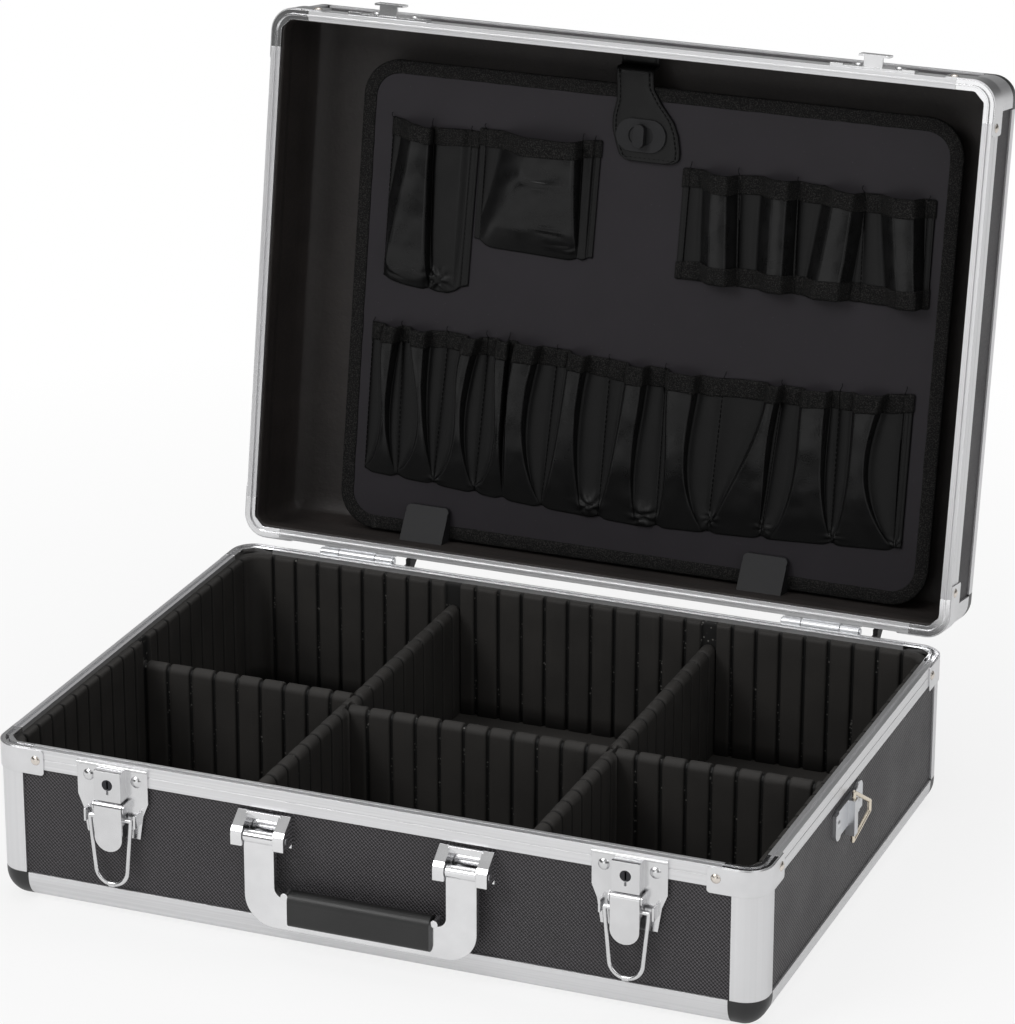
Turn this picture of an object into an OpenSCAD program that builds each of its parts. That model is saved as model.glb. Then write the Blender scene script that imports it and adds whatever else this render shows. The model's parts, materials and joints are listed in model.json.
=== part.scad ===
// Hard tool case with an aluminium frame, shown with the lid open.
// Right is +X, back is +Y, up is +Z. The origin is the centre of the rest face.
// The lid is drawn closed and then turned open about the hinge line.

/* [Case] */
// outside width of the case
case_w = 460; // [380:1:520]
// outside depth of the case
case_d = 332; // [280:1:380]
// height of the base up to the top of its rim
base_h = 97; // [80:1:120]
// height of the lid above its rim
lid_h = 63; // [60:1:90]
// gap between the two rims when closed
rim_gap = 0.4; // [0.3:0.1:1]
// lid angle in the open pose
lid_angle = 100; // [90:1:110]
// radius of the upright corners
corner_r = 14; // [10:1:20]
// radius of the rounded bottom and top edges
edge_r = 16; // [12:1:20]

/* [Panels and rails] */
// thickness of the sheet panels
panel_t = 3; // [2:0.5:5]
// thickness of metal standing proud of a panel
skin_t = 1.2; // [0.8:0.1:2]
// thickness of a rim rail across the wall
rail_t = 6.2; // [5:0.1:8]
// height of the base rail
base_rail_h = 12.4; // [10:0.1:18]
// height of the lid rail
lid_rail_h = 14.6; // [10:0.1:18]
// height of the base edge profile
base_edge_h = 18.6; // [17:0.1:24]
// height of the lid edge profile
lid_edge_h = 20.6; // [17:0.1:24]
// width of the corner posts
post_w = 18.2; // [16:0.1:24]
// how far a rail holds its panel
rail_grip = 8; // [4:0.5:10]
// length of a rim corner casting from the corner
corner_len = 24; // [20:1:30]
// length of a corner bracket arm
bracket_len = 32; // [26:1:38]
// thickness of a corner bracket
bracket_t = 0.8; // [0.6:0.1:1.2]
// radius of a rivet head
rivet_r = 2.9; // [2:0.1:4]
// height of a rivet head
rivet_h = 1.3; // [0.8:0.1:2]
// width of the seal groove in the base rim
seal_w = 1.8; // [1.4:0.1:2.4]
// depth of the seal groove
seal_d = 1.8; // [1.2:0.1:2.4]
// side clearance of the lid tongue in the groove
seal_clear = 0.4; // [0.3:0.05:0.6]

/* [Foam and dividers] */
// thickness of the wall foam
foam_t = 7; // [5:0.5:10]
// thickness of the floor foam
floor_t = 4; // [3:0.5:6]
// distance of the foam top below the rim
foam_drop = 3; // [2:0.5:8]
// spacing of the foam grooves
groove_pitch = 15.2; // [12:0.1:20]
// thickness of the lid lining
lining_t = 0.8; // [0.5:0.1:1.5]
// depth of a foam groove
groove_d = 2.6; // [1.5:0.1:3.5]
// thickness of a divider
divider_t = 8.4; // [6:0.1:12]
// distance of the divider tops below the rim
divider_drop = 17; // [8:1:35]
// clearance of a divider end in its groove
slide_clear = 0.3; // [0.3:0.05:0.6]

/* [Latches] */
// distance of each latch from the end of the case
latch_end = 75.5; // [62:0.5:100]
// distance of the lever pivot below the rim
lever_under = 25.2; // [24:0.1:31]
// distance of the lever pivot from the wall
lever_out = 5.2; // [5:0.1:7]
// half width of a lever
lever_w = 8.5; // [6:0.1:10]
// radius of the rolled barrel at the top of a lever
barrel_r = 3.4; // [2.5:0.1:3.6]
// length of a lever below its pivot
lever_len = 26.4; // [20:0.1:30]
// distance of the bail pivot below the lever pivot
bail_drop = 7; // [6:0.1:8]
// reach of the bail below its pivot
bail_len = 41; // [36:0.1:44]
// half width of the bail at its pivot
bail_w = 12.8; // [12.4:0.1:13.4]
// radius of the bail's round end
bail_r = 9.8; // [9.4:0.1:10.4]
// radius of the bail wire
wire_r = 1.3; // [1:0.1:1.6]
// radius of the lock cylinder
lock_r = 3.2; // [2.5:0.1:4]
// running clearance of pivots
run_clear = 0.06; // [0.03:0.01:0.1]
// radius of the lever pin
lever_pin_r = 1.1; // [0.8:0.1:1.5]

/* [Handle] */
// distance of each handle arm from the middle
arm_x = 60.5; // [50:0.5:75]
// width of a handle arm
arm_w = 18; // [14:0.5:24]
// thickness of a handle arm
arm_t = 4; // [3:0.5:6]
// distance of the handle pivot below the rim
handle_under = 26; // [25:0.5:32]
// distance of the handle pivot from the wall
handle_out = 8.5; // [7:0.5:12]
// reach of the handle below its pivot
handle_drop = 53.2; // [46:0.2:60]
// height of the frame below the grip
grip_lift = 3.5; // [2:0.5:5]
// height of the grip section
grip_h = 20.5; // [16:0.5:26]
// thickness of the grip section
grip_t = 11; // [9:0.5:14]
// half length of the grip
grip_len = 42.5; // [38:0.5:46]
// radius of the handle pin
handle_pin_r = 1.7; // [1.2:0.1:2.5]
// width of one bracket ear
ear_w = 6.6; // [5:0.1:10]
// gap between an arm and its ears
ear_gap = 0.4; // [0.3:0.1:0.8]

/* [Hinges] */
// distance of each hinge from the end of the case
hinge_end = 78.2; // [50:0.1:110]
// length of a hinge
hinge_len = 48.4; // [36:0.1:60]
// distance of the hinge line behind the wall
hinge_out = 3.5; // [3.4:0.1:6]
// outer radius of a knuckle
knuckle_r = 3; // [2.5:0.1:4]
// radius of the hinge pin
pin_r = 1.2; // [0.8:0.1:1.6]
// gap between neighbouring knuckles
knuckle_gap = 0.4; // [0.3:0.1:0.6]
// thickness of a hinge leaf
leaf_t = 1.2; // [0.8:0.1:2]

/* [Strap rings] */
// position of the ring channel along the side
ring_y = -20; // [-40:1:40]
// distance of the channel middle below the rim
ring_under = 29; // [28:1:45]
// length of the channel
channel_len = 21.6; // [18:0.1:26]
// distance of the ring axis from the wall
ring_out = 3.6; // [3:0.1:6]
// angle between the resting ring and the wall
ring_lean = 12; // [6:1:40]
// radius of the ring wire
ring_wire = 1.2; // [0.9:0.1:1.6]

/* [Tool board] */
// gap between the board and the left end
board_left = 48; // [25:1:60]
// gap between the board and the right end
board_right = 25; // [20:1:50]
// gap between the board and the front wall
board_front = 28; // [16:1:46]
// gap between the board and the back wall
board_back = 6.8; // [6.2:0.1:16]
// depth of the board face below the lid top
board_under = 25.4; // [16:0.2:34]
// thickness of the board
board_t = 3; // [2:0.5:5]
// corner radius of the board
board_r = 24; // [15:1:35]
// width of the edge binding
bind_w = 8.6; // [6:0.1:12]
// thickness of the edge binding
bind_t = 0.8; // [0.5:0.1:1.2]
// thickness of pocket material
cloth_t = 0.9; // [0.6:0.1:1.5]
// depth of the lower pockets
pocket_d = 12; // [9:0.5:16]
// place of the turn lock right of the middle
lock_x = 3; // [-10:1:20]
// distance of the turn lock from the front wall
lock_in = 58; // [46:1:70]

/* [Hidden] */
$fn = 64;
e = 0.01;
cx = case_w / 2;
cy = case_d / 2;
top_z = base_h + rim_gap;
case_top = base_h + rim_gap + lid_h;
hinge_y = cy + hinge_out;
hinge_z = base_h + rim_gap / 2;
inner_u = skin_t + panel_t;
slot_u = edge_r - 2.5;
foam_u = inner_u + foam_t;
floor_z = skin_t + panel_t;
floor_top = floor_z + floor_t;
foam_top = base_h - foam_drop;
divider_top = base_h - divider_drop;
long_left = -5.5 * groove_pitch + 1.5;
long_right = 5.5 * groove_pitch + 1.5;
cross_back = groove_pitch / 2;
cross_front = -groove_pitch / 2;
latch_x = cx - latch_end;
lever_z = base_h - lever_under;
lock_z = base_h - 11;
handle_z = base_h - handle_under;
hinge_x = cx - hinge_end;
ring_z = base_h - ring_under;
// height of the hooked bail bar less its collar and a hair
hook_top = lever_z - bail_drop + bail_len - 1.7 - 0.3;
// width of the flange across the inside of a rim corner
gusset = 8;
board_x0 = -cx + board_left;
board_x1 = cx - board_right;
board_y0 = -cy + board_front;
board_y1 = cy - board_back;
board_z = case_top - board_under;
board_cx = (board_x0 + board_x1) / 2;
board_cy = (board_y0 + board_y1) / 2;
board_w = board_x1 - board_x0;
board_l = board_y1 - board_y0;
lock_y = -cy + lock_in;
// places on the board are given for a board of this size, from its front left corner
draft_w = 387;
draft_l = 297.2;
// seams of the lower pockets and of the loops across the board
row_edges = [16, 36.5, 63.5, 91, 109.5, 135.5, 173.5, 211.5, 246, 283, 324, 366];
loop_edges = [216, 251, 288, 329, 368];

// a place across the board and one along it
function across(x) = board_x0 + x * board_w / draft_w;
function along(y) = board_y0 + y * board_l / draft_l;

// ---- shared shapes ----

// rounded rectangle centred on the origin
module rrect(w, d, r) {
  square([w - 2 * r, d], center = true);
  square([w, d - 2 * r], center = true);
  for (sx = [-1, 1], sy = [-1, 1])
    translate([sx * (w / 2 - r), sy * (d / 2 - r)])
      circle(r = r);
}

// the case outline moved inwards by u
module outline(u) {
  rrect(case_w - 2 * u, case_d - 2 * u, max(corner_r - u, 1));
}

// a band following the wall between two depths and two heights
module band(u0, u1, z0, z1) {
  translate([0, 0, z0])
    linear_extrude(z1 - z0)
      difference() {
        outline(u0);
        outline(u1);
      }
}

// four boxes that hold everything within len of the corners
module corner_boxes(len, z0, z1) {
  for (sx = [-1, 1], sy = [-1, 1])
    translate([sx * (cx - len / 2 + 2), sy * (cy - len / 2 + 2), (z0 + z1) / 2])
      cube([len + 4, len + 4, z1 - z0], center = true);
}

// the lid turned from closed to the open pose
module opened() {
  translate([0, hinge_y, hinge_z])
    rotate([-lid_angle, 0, 0])
      translate([0, -hinge_y, -hinge_z])
        children();
}

// section of the rounded edge, depth from the wall against height
module edge_section(h) {
  difference() {
    union() {
      arc_section(edge_r, edge_r - inner_u);
      translate([0, edge_r])
        square([skin_t, h - edge_r]);
      translate([edge_r, 0])
        square([h - edge_r, skin_t]);
    }
    translate([skin_t, slot_u])
      square([h, h]);
    translate([slot_u, skin_t])
      square([h, h]);
  }
}

// a quarter ring between two radii about the edge centre
module arc_section(r1, r0) {
  intersection() {
    translate([edge_r, edge_r])
      difference() {
        circle(r = r1, $fn = 96);
        circle(r = r0, $fn = 96);
      }
    square([edge_r, edge_r]);
  }
}

// a section swept round the case, lowest point at zero height
module sweep_edge(h) {
  for (s = [0, 1])
    rotate([0, 0, s * 180])
      translate([-cx + corner_r, -cy, 0])
        rotate([90, 0, 90])
          linear_extrude(case_w - 2 * corner_r)
            children();
  for (s = [0, 1])
    rotate([0, 0, s * 180])
      translate([cx, -cy + corner_r, 0])
        rotate([90, 0, 180])
          linear_extrude(case_d - 2 * corner_r)
            children();
  for (sx = [-1, 1], sy = [-1, 1])
    translate([sx * (cx - corner_r), sy * (cy - corner_r), 0])
      rotate([0, 0, sx > 0 ? (sy > 0 ? 0 : 270) : (sy > 0 ? 90 : 180)])
        rotate_extrude(angle = 90)
          intersection() {
            translate([corner_r, 0])
              mirror([1, 0])
                children();
            square([corner_r, h]);
          }
}

// flat frame that ties the edge profiles together at the corners
module edge_frame(h) {
  linear_extrude(skin_t)
    difference() {
      square([case_w - 2 * edge_r, case_d - 2 * edge_r], center = true);
      square([case_w - 2 * h, case_d - 2 * h], center = true);
    }
}

// the four straight edge profiles joined by their frame
module edge_rails(h) {
  difference() {
    sweep_edge(h)
      edge_section(h);
    corner_boxes(post_w + 1, -1, h + 1);
  }
  edge_frame(h);
}

// the corner caps between the edge profiles
module edge_caps(h) {
  intersection() {
    difference() {
      sweep_edge(h)
        edge_section(h);
      edge_frame(h);
    }
    corner_boxes(post_w + 1, -1, h + 1);
  }
}

// the rail band with its panel slot; up is the rim face
module rail_ring(h) {
  difference() {
    band(0, rail_t, -h, 0);
    band(skin_t, inner_u, -h - 1, -h + rail_grip);
    // shadow line along the outer face
    band(-1, 0.3, -h * 0.5, -h * 0.5 + 0.4);
  }
}

// a domed rivet standing on the plane z = 0
module rivet(r, h) {
  rotate_extrude($fn = 32)
    intersection() {
      translate([0, h - (r * r + h * h) / (2 * h)])
        circle(r = (r * r + h * h) / (2 * h), $fn = 96);
      square([r, h]);
    }
}

// rivets on both arms of every corner bracket at height z
module corner_rivets(z) {
  for (sx = [-1, 1], sy = [-1, 1]) {
    translate([sx * (cx - 27), sy * (cy + bracket_t), z])
      rotate([sy > 0 ? -90 : 90, 0, 0])
        rivet(rivet_r, rivet_h);
    translate([sx * (cx + bracket_t), sy * (cy - 27), z])
      rotate([0, sx > 0 ? 90 : -90, 0])
        rivet(rivet_r, rivet_h);
  }
}

// two rounded slabs that keep both ends of a wall of this width, upright in x and z
module end_slabs(width, depth, z0, z1) {
  for (s = [-1, 1])
    translate([s * (width / 2 - bracket_len / 2 + 2), depth, (z0 + z1) / 2])
      rotate([90, 0, 0])
        linear_extrude(2 * depth)
          rrect(bracket_len + 4, z1 - z0, 2);
}

// the four corner brackets between two heights
module corner_bracket_set(z0, z1) {
  intersection() {
    band(-bracket_t, 0, z0, z1);
    end_slabs(case_w, case_d, z0, z1);
    rotate([0, 0, 90])
      end_slabs(case_d, case_w, z0, z1);
  }
}

// flat three-cornered flanges inside the four corners of a rim
module corner_gussets(z0, z1) {
  in_x = cx - rail_t + 1;
  in_y = cy - rail_t + 1;
  for (sx = [-1, 1], sy = [-1, 1])
    translate([0, 0, z0])
      linear_extrude(z1 - z0)
        intersection() {
          polygon([[sx * in_x, sy * in_y], [sx * (in_x - gusset), sy * in_y],
            [sx * in_x, sy * (in_y - gusset)]]);
          rrect(2 * in_x, 2 * in_y, corner_r - rail_t + 1);
        }
}

// ---- base shell ----

module base_side_panels() {
  color([0.2, 0.2, 0.22])
    band(skin_t, inner_u, slot_u, base_h - base_rail_h + rail_grip);
}

module base_bottom_panel() {
  color([0.18, 0.18, 0.2])
    translate([0, 0, skin_t])
      linear_extrude(panel_t)
        outline(slot_u);
}

module base_rail_shape() {
  difference() {
    translate([0, 0, base_h])
      rail_ring(base_rail_h);
    band(2.2, 2.2 + seal_w, base_h - seal_d, base_h + 1);
  }
}

module base_rim_rails() {
  color([0.8, 0.8, 0.82])
    difference() {
      base_rail_shape();
      corner_boxes(corner_len, base_h - base_rail_h - 1, base_h + 1);
    }
}

module base_rim_corners() {
  color([0.9, 0.9, 0.92]) {
    intersection() {
      base_rail_shape();
      corner_boxes(corner_len, base_h - base_rail_h - 1, base_h + 1);
    }
    corner_gussets(base_h - 1.6, base_h);
  }
}

module base_corner_posts() {
  color([0.82, 0.82, 0.84])
    intersection() {
      band(0, skin_t, base_edge_h, base_h - base_rail_h);
      corner_boxes(post_w, 0, base_h);
    }
}

module base_corner_brackets() {
  color([0.86, 0.86, 0.88])
    corner_bracket_set(base_h - base_rail_h - 3.4, base_h - 0.6);
}

module base_bottom_edges() {
  color([0.8, 0.8, 0.82])
    edge_rails(base_edge_h);
}

module base_corner_caps() {
  color([0.12, 0.12, 0.13])
    edge_caps(base_edge_h);
}

module base_rivets() {
  color([0.78, 0.74, 0.7])
    corner_rivets(base_h - 7);
}

// ---- foam ----

module wall_lining() {
  color([0.1, 0.1, 0.1])
    difference() {
      union() {
        band(inner_u, foam_u, edge_r, foam_top);
        // stepped foot clear of the rounded edge
        band(inner_u + foam_t / 2, foam_u, floor_top, edge_r);
      }
      band(skin_t, rail_t, base_h - base_rail_h, base_h);
      for (x = [long_left, long_right])
        translate([x, 0, base_h / 2])
          cube([divider_t + 2 * slide_clear, case_d - 2 * foam_u + 2 * groove_d,
            base_h], center = true);
      for (s = [-1, 1])
        translate([s * (cx - foam_u), s < 0 ? cross_back : cross_front, base_h / 2])
          cube([2 * groove_d, divider_t + 2 * slide_clear, base_h], center = true);
    }
}

module floor_lining() {
  color([0.11, 0.11, 0.11])
    difference() {
      translate([0, 0, floor_z])
        linear_extrude(floor_t)
          outline(foam_u);
      // undercut clear of the rounded edge
      band(0, edge_r, 0, floor_z + 1.2);
    }
}

// a divider standing across x = 0, running in y, with a rounded top
module divider_body(len) {
  h = divider_top - floor_top;
  translate([0, len / 2, floor_top])
    rotate([90, 0, 0])
      linear_extrude(len) {
        translate([-divider_t / 2, 0])
          square([divider_t, h - divider_t / 2]);
        translate([0, h - divider_t / 2])
          circle(r = divider_t / 2);
      }
}

module divider_long(x, y_left, y_right) {
  color([0.12, 0.12, 0.12])
    difference() {
      translate([x, 0, 0])
        divider_body(case_d - 2 * foam_u + 2 * groove_d - 2 * slide_clear);
      translate([x - divider_t / 2, y_left, base_h / 2])
        cube([2 * groove_d, divider_t + 2 * slide_clear, base_h], center = true);
      translate([x + divider_t / 2, y_right, base_h / 2])
        cube([2 * groove_d, divider_t + 2 * slide_clear, base_h], center = true);
    }
}

module divider_cross(x0, x1, y) {
  color([0.13, 0.13, 0.13])
    translate([(x0 + x1) / 2, y, 0])
      rotate([0, 0, 90])
        divider_body(x1 - x0 - 2 * slide_clear);
}

module divider_long_left() {
  divider_long(long_left, cross_back, cross_front);
}

module divider_long_right() {
  divider_long(long_right, cross_front, cross_front);
}

module divider_cross_left() {
  divider_cross(-cx + foam_u - groove_d, long_left - divider_t / 2 + groove_d,
    cross_back);
}

module divider_cross_middle() {
  divider_cross(long_left + divider_t / 2 - groove_d,
    long_right - divider_t / 2 + groove_d, cross_front);
}

module divider_cross_right() {
  divider_cross(long_right + divider_t / 2 - groove_d, cx - foam_u + groove_d,
    cross_front);
}

// ---- latches, drawn at x = 0 with the wall at y = 0 and outwards along -y ----

module at_latch(s) {
  translate([s * latch_x, -cy, 0])
    children();
}

// a box given by x0, x1, outward distance o0, o1 and z0, z1
module block(x0, x1, o0, o1, z0, z1) {
  translate([x0, -o1, z0])
    cube([x1 - x0, o1 - o0, z1 - z0]);
}

module latch_plate() {
  difference() {
    union() {
      // plate, joggled back onto the panel below the rail
      translate([0, 0, 0])
        rotate([90, 0, 0])
          linear_extrude(skin_t)
            polygon([[-21.8, base_h - 1.4], [-21.8, lever_z + 3.2],
              [-18.6, lever_z - 4.8], [-16.4, lever_z - 19.2], [16.4, lever_z - 19.2],
              [18.6, lever_z - 4.8], [21.8, lever_z + 3.2], [21.8, base_h - 1.4]]);
      translate([0, skin_t, 0])
        rotate([90, 0, 0])
          linear_extrude(skin_t + e)
            polygon([[-20.8, base_h - base_rail_h - 3.6], [-20.8, lever_z + 4.2],
              [-17.6, lever_z - 4.3], [-15.4, lever_z - 18.2], [15.4, lever_z - 18.2],
              [17.6, lever_z - 4.3], [20.8, lever_z + 4.2],
              [20.8, base_h - base_rail_h - 3.6]]);
      // rolled upper edge
      translate([-21.8, -skin_t, base_h - 2.4])
        rotate([0, 90, 0])
          cylinder(r = 1, h = 43.6, $fn = 32);
      // lock housing
      block(-8.2, 8.2, skin_t - e, 8, lock_z - 10, base_h - 3);
      translate([-8.2, -7, base_h - 4])
        rotate([0, 90, 0])
          cylinder(r = 1, h = 16.4, $fn = 32);
      // ears for the lever pin
      for (s = [-1, 1])
        translate([s * 9.3 - 0.4, 0, lever_z])
          rotate([90, 0, 90])
            linear_extrude(0.8) {
              translate([-lever_out, 0])
                circle(r = 3.2);
              translate([-lever_out, -3.2])
                square([lever_out - skin_t + e, 6.4]);
            }
      // guide tabs outside the bail
      for (s = [-1, 1])
        block(s * 15.4 - 0.6, s * 15.4 + 0.6, skin_t - e, 6.4, lever_z - 10.8,
          lever_z - 3.4);
      // rivets
      for (s = [-1, 1])
        translate([s * 14.8, -skin_t, lock_z + 1.5])
          rotate([90, 0, 0])
            rivet(3.4, 1.5);
    }
    // lock bore and key slot below it
    translate([0, -skin_t, lock_z])
      rotate([90, 0, 0])
        cylinder(r = lock_r + run_clear, h = 20);
    block(-0.7, 0.7, 5.5, 20, lock_z - 6, lock_z);
    // lever pin bore
    translate([-12, -lever_out, lever_z])
      rotate([0, 90, 0])
        cylinder(r = lever_pin_r, h = 24);
  }
}

module latch_plate_left() {
  color([0.85, 0.85, 0.87])
    at_latch(-1)
      latch_plate();
}

module latch_plate_right() {
  color([0.85, 0.85, 0.87])
    at_latch(1)
      latch_plate();
}

module latch_pins() {
  color([0.7, 0.7, 0.72])
    for (s = [-1, 1])
      at_latch(s)
        translate([-9.7, -lever_out, lever_z])
          rotate([0, 90, 0])
            cylinder(r = lever_pin_r, h = 19.4);
}

module lock_cylinder() {
  difference() {
    translate([0, -skin_t - 0.3, lock_z])
      rotate([90, 0, 0])
        cylinder(r = lock_r, h = 6.3);
    block(-0.5, 0.5, 5.6, 9, lock_z - 2.4, lock_z + 2.4);
  }
}

module lock_cylinder_left() {
  color([0.25, 0.25, 0.27])
    at_latch(-1)
      lock_cylinder();
}

module lock_cylinder_right() {
  color([0.25, 0.25, 0.27])
    at_latch(1)
      lock_cylinder();
}

module latch_lever() {
  tip_z = lever_z - lever_len;
  face = lever_out + barrel_r;
  cheek = 1.4;
  difference() {
    union() {
      // rolled barrel round the pin
      translate([-lever_w, -lever_out, lever_z])
        rotate([0, 90, 0])
          cylinder(r = barrel_r, h = 2 * lever_w);
      // tongue with a round end
      translate([0, -face + cheek, 0])
        rotate([90, 0, 0])
          linear_extrude(cheek) {
            translate([-lever_w, tip_z + lever_w])
              square([2 * lever_w, lever_len - lever_w]);
            translate([0, tip_z + lever_w])
              circle(r = lever_w);
          }
      // cheeks that carry the bail
      for (s = [-1, 1])
        translate([s * (lever_w - cheek / 2) - cheek / 2, 0, 0])
          rotate([90, 0, 90])
            linear_extrude(cheek) {
              translate([-lever_out, lever_z - bail_drop])
                circle(r = 2.8);
              translate([-face + 0.1, lever_z - bail_drop - 2.8])
                square([barrel_r - 0.1, bail_drop]);
              translate([-face + 0.1, lever_z - bail_drop])
                square([barrel_r + 2.7, bail_drop]);
            }
    }
    translate([-20, -lever_out, lever_z])
      rotate([0, 90, 0])
        cylinder(r = lever_pin_r + run_clear, h = 40);
    translate([-20, -lever_out, lever_z - bail_drop])
      rotate([0, 90, 0])
        cylinder(r = wire_r + run_clear, h = 40);
  }
}

module latch_lever_left() {
  color([0.88, 0.88, 0.9])
    at_latch(-1)
      latch_lever();
}

module latch_lever_right() {
  color([0.88, 0.88, 0.9])
    at_latch(1)
      latch_lever();
}

// the arms lean in from the pivot and run into the round end without a kink
module latch_bail() {
  drop = bail_len - bail_r;
  reach = sqrt(bail_w * bail_w + drop * drop);
  lean = atan2(bail_w, drop) - asin(bail_r / reach);
  translate([0, -lever_out, lever_z - bail_drop]) {
    for (s = [-1, 1])
      translate([s * bail_w, 0, 0]) {
        // turned-in end through the lever cheek
        rotate([0, -s * 90, 0])
          cylinder(r = wire_r, h = bail_w - lever_w + 1.6);
        sphere(r = wire_r + e);
        rotate([0, 180 + s * lean, 0])
          cylinder(r = wire_r, h = sqrt(reach * reach - bail_r * bail_r) + 0.05);
      }
    // round end, a hair thicker so that the arms run into it
    translate([0, 0, -drop])
      rotate([90, 0, 0])
        rotate([0, 0, 180 + lean])
          rotate_extrude(angle = 180 - 2 * lean)
            translate([bail_r, 0])
              circle(r = wire_r + e, $fn = 32);
    // collar in the middle of the bend
    translate([-2, 0, -bail_len])
      rotate([0, 90, 0])
        cylinder(r = 1.7, h = 4);
  }
}

module latch_bail_left() {
  color([0.88, 0.88, 0.9])
    at_latch(-1)
      latch_bail();
}

module latch_bail_right() {
  color([0.88, 0.88, 0.9])
    at_latch(1)
      latch_bail();
}

// ---- handle ----

module handle_brackets() {
  half = arm_w / 2 + ear_gap;
  // clear of the rail above
  top = base_h - base_rail_h - 1.4;
  z0 = handle_z;
  color([0.86, 0.86, 0.88])
    for (s = [-1, 1])
      translate([s * arm_x, -cy, 0])
        difference() {
          union() {
            // plate against the panel
            block(-half - ear_w, half + ear_w, -skin_t, 1.8, z0 - 7, top);
            // bar between the ears
            block(-half - 1, half + 1, 0, 3.4, top - 3.8, top);
            for (t = [-1, 1])
              translate([t > 0 ? half : -half - ear_w, 0, 0])
                rotate([90, 0, 90])
                  linear_extrude(ear_w)
                    polygon([[0, top], [-2, top], [-10.6, z0 + 5.8], [-12.6, z0 + 3.4],
                      [-13, z0 + 1], [-13, z0 - 5], [-4, z0 - 5], [0, z0 - 4]]);
          }
          translate([-40, -handle_out, handle_z])
            rotate([0, 90, 0])
              cylinder(r = handle_pin_r, h = 80);
        }
}

module handle_pins() {
  reach = arm_w / 2 + ear_gap + ear_w;
  color([0.7, 0.7, 0.72])
    for (s = [-1, 1])
      translate([s * arm_x - reach - 0.2, -cy - handle_out, handle_z])
        rotate([0, 90, 0])
          cylinder(r = handle_pin_r, h = 2 * reach + 0.4);
}

// height of the grip's core bar
core_h = 12;

module handle_frame() {
  bottom = handle_z - handle_drop;
  grip_z = bottom + grip_lift;
  outer = arm_x + arm_w / 2;
  inner = arm_x - arm_w / 2;
  bend = 18;
  fillet = 6;
  sill = grip_z + grip_h - 5;
  color([0.86, 0.86, 0.88])
    translate([0, -cy - handle_out, 0])
      difference() {
        union() {
          translate([0, arm_t / 2, 0])
            rotate([90, 0, 0])
              linear_extrude(arm_t) {
                difference() {
                  union() {
                    translate([-outer, bottom + bend])
                      square([2 * outer, handle_drop - bend]);
                    translate([-outer + bend, bottom])
                      square([2 * (outer - bend), bend + e]);
                    for (s = [-1, 1])
                      translate([s * (outer - bend), bottom + bend])
                        circle(r = bend, $fn = 96);
                  }
                  // window between the arms, with round lower corners
                  translate([-inner, sill + fillet])
                    square([2 * inner, handle_drop]);
                  translate([-inner + fillet, sill])
                    square([2 * (inner - fillet), handle_drop]);
                  for (s = [-1, 1])
                    translate([s * (inner - fillet), sill + fillet])
                      circle(r = fillet, $fn = 64);
                  translate([-grip_len, grip_z])
                    square([2 * grip_len, handle_drop]);
                }
                // core bar through the grip
                translate([-grip_len - 1, grip_z + (grip_h - core_h) / 2])
                  square([2 * grip_len + 2, core_h]);
              }
          // barrels round the pins
          for (s = [-1, 1])
            translate([s * arm_x - arm_w / 2, 0, handle_z])
              rotate([0, 90, 0])
                cylinder(r = 3.6, h = arm_w);
          // raised collars at the grip ends
          for (s = [-1, 1])
            translate([s * (grip_len + 2.4), 0, grip_z + grip_h - 3.2])
              rotate([90, 0, 0])
                cylinder(r = 2.2, h = 7, center = true);
        }
        translate([-100, 0, handle_z])
          rotate([0, 90, 0])
            cylinder(r = handle_pin_r + run_clear, h = 200);
      }
}

module handle_grip() {
  color([0.1, 0.1, 0.1])
    translate([-grip_len, -cy - handle_out, handle_z - handle_drop + grip_lift])
      rotate([90, 0, 90])
        linear_extrude(2 * grip_len)
          difference() {
            union() {
              translate([0, grip_h - grip_t / 2])
                circle(r = grip_t / 2);
              translate([0, grip_h / 2 - 2])
                rrect(grip_t, grip_h - 4, 3);
            }
            translate([-arm_t / 2, (grip_h - core_h) / 2])
              square([arm_t, core_h]);
          }
}

// ---- strap rings ----

// drawn on the right wall with outwards along +x
module at_side(s) {
  mirror([s > 0 ? 0 : 1, 0, 0])
    translate([cx, ring_y, ring_z])
      children();
}

module strap_bracket() {
  difference() {
    union() {
      // plate on the panel with a tongue down in front and one up behind
      translate([-skin_t, 0, 0])
        rotate([90, 0, 90])
          linear_extrude(2 * skin_t) {
            translate([-19, -5])
              square([38, 16]);
            translate([-24, -2])
              square([10, 11.5]);
            translate([-19, -2])
              circle(r = 5);
            translate([14, -4])
              square([10, 12.5]);
            translate([19, 8.5])
              circle(r = 5);
          }
      // channel for the ring, short of the ring's bends
      translate([0, -3, -channel_len / 2])
        cube([ring_out + 1.8, 6, channel_len]);
      for (s = [-1, 1])
        translate([skin_t, s * 19, 3])
          rotate([0, 90, 0])
            rivet(2.6, 1);
    }
    translate([ring_out, 0, -channel_len])
      cylinder(r = ring_wire + run_clear, h = 2 * channel_len);
  }
}

module strap_brackets() {
  color([0.82, 0.82, 0.84])
    for (s = [-1, 1])
      at_side(s)
        strap_bracket();
}

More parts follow.
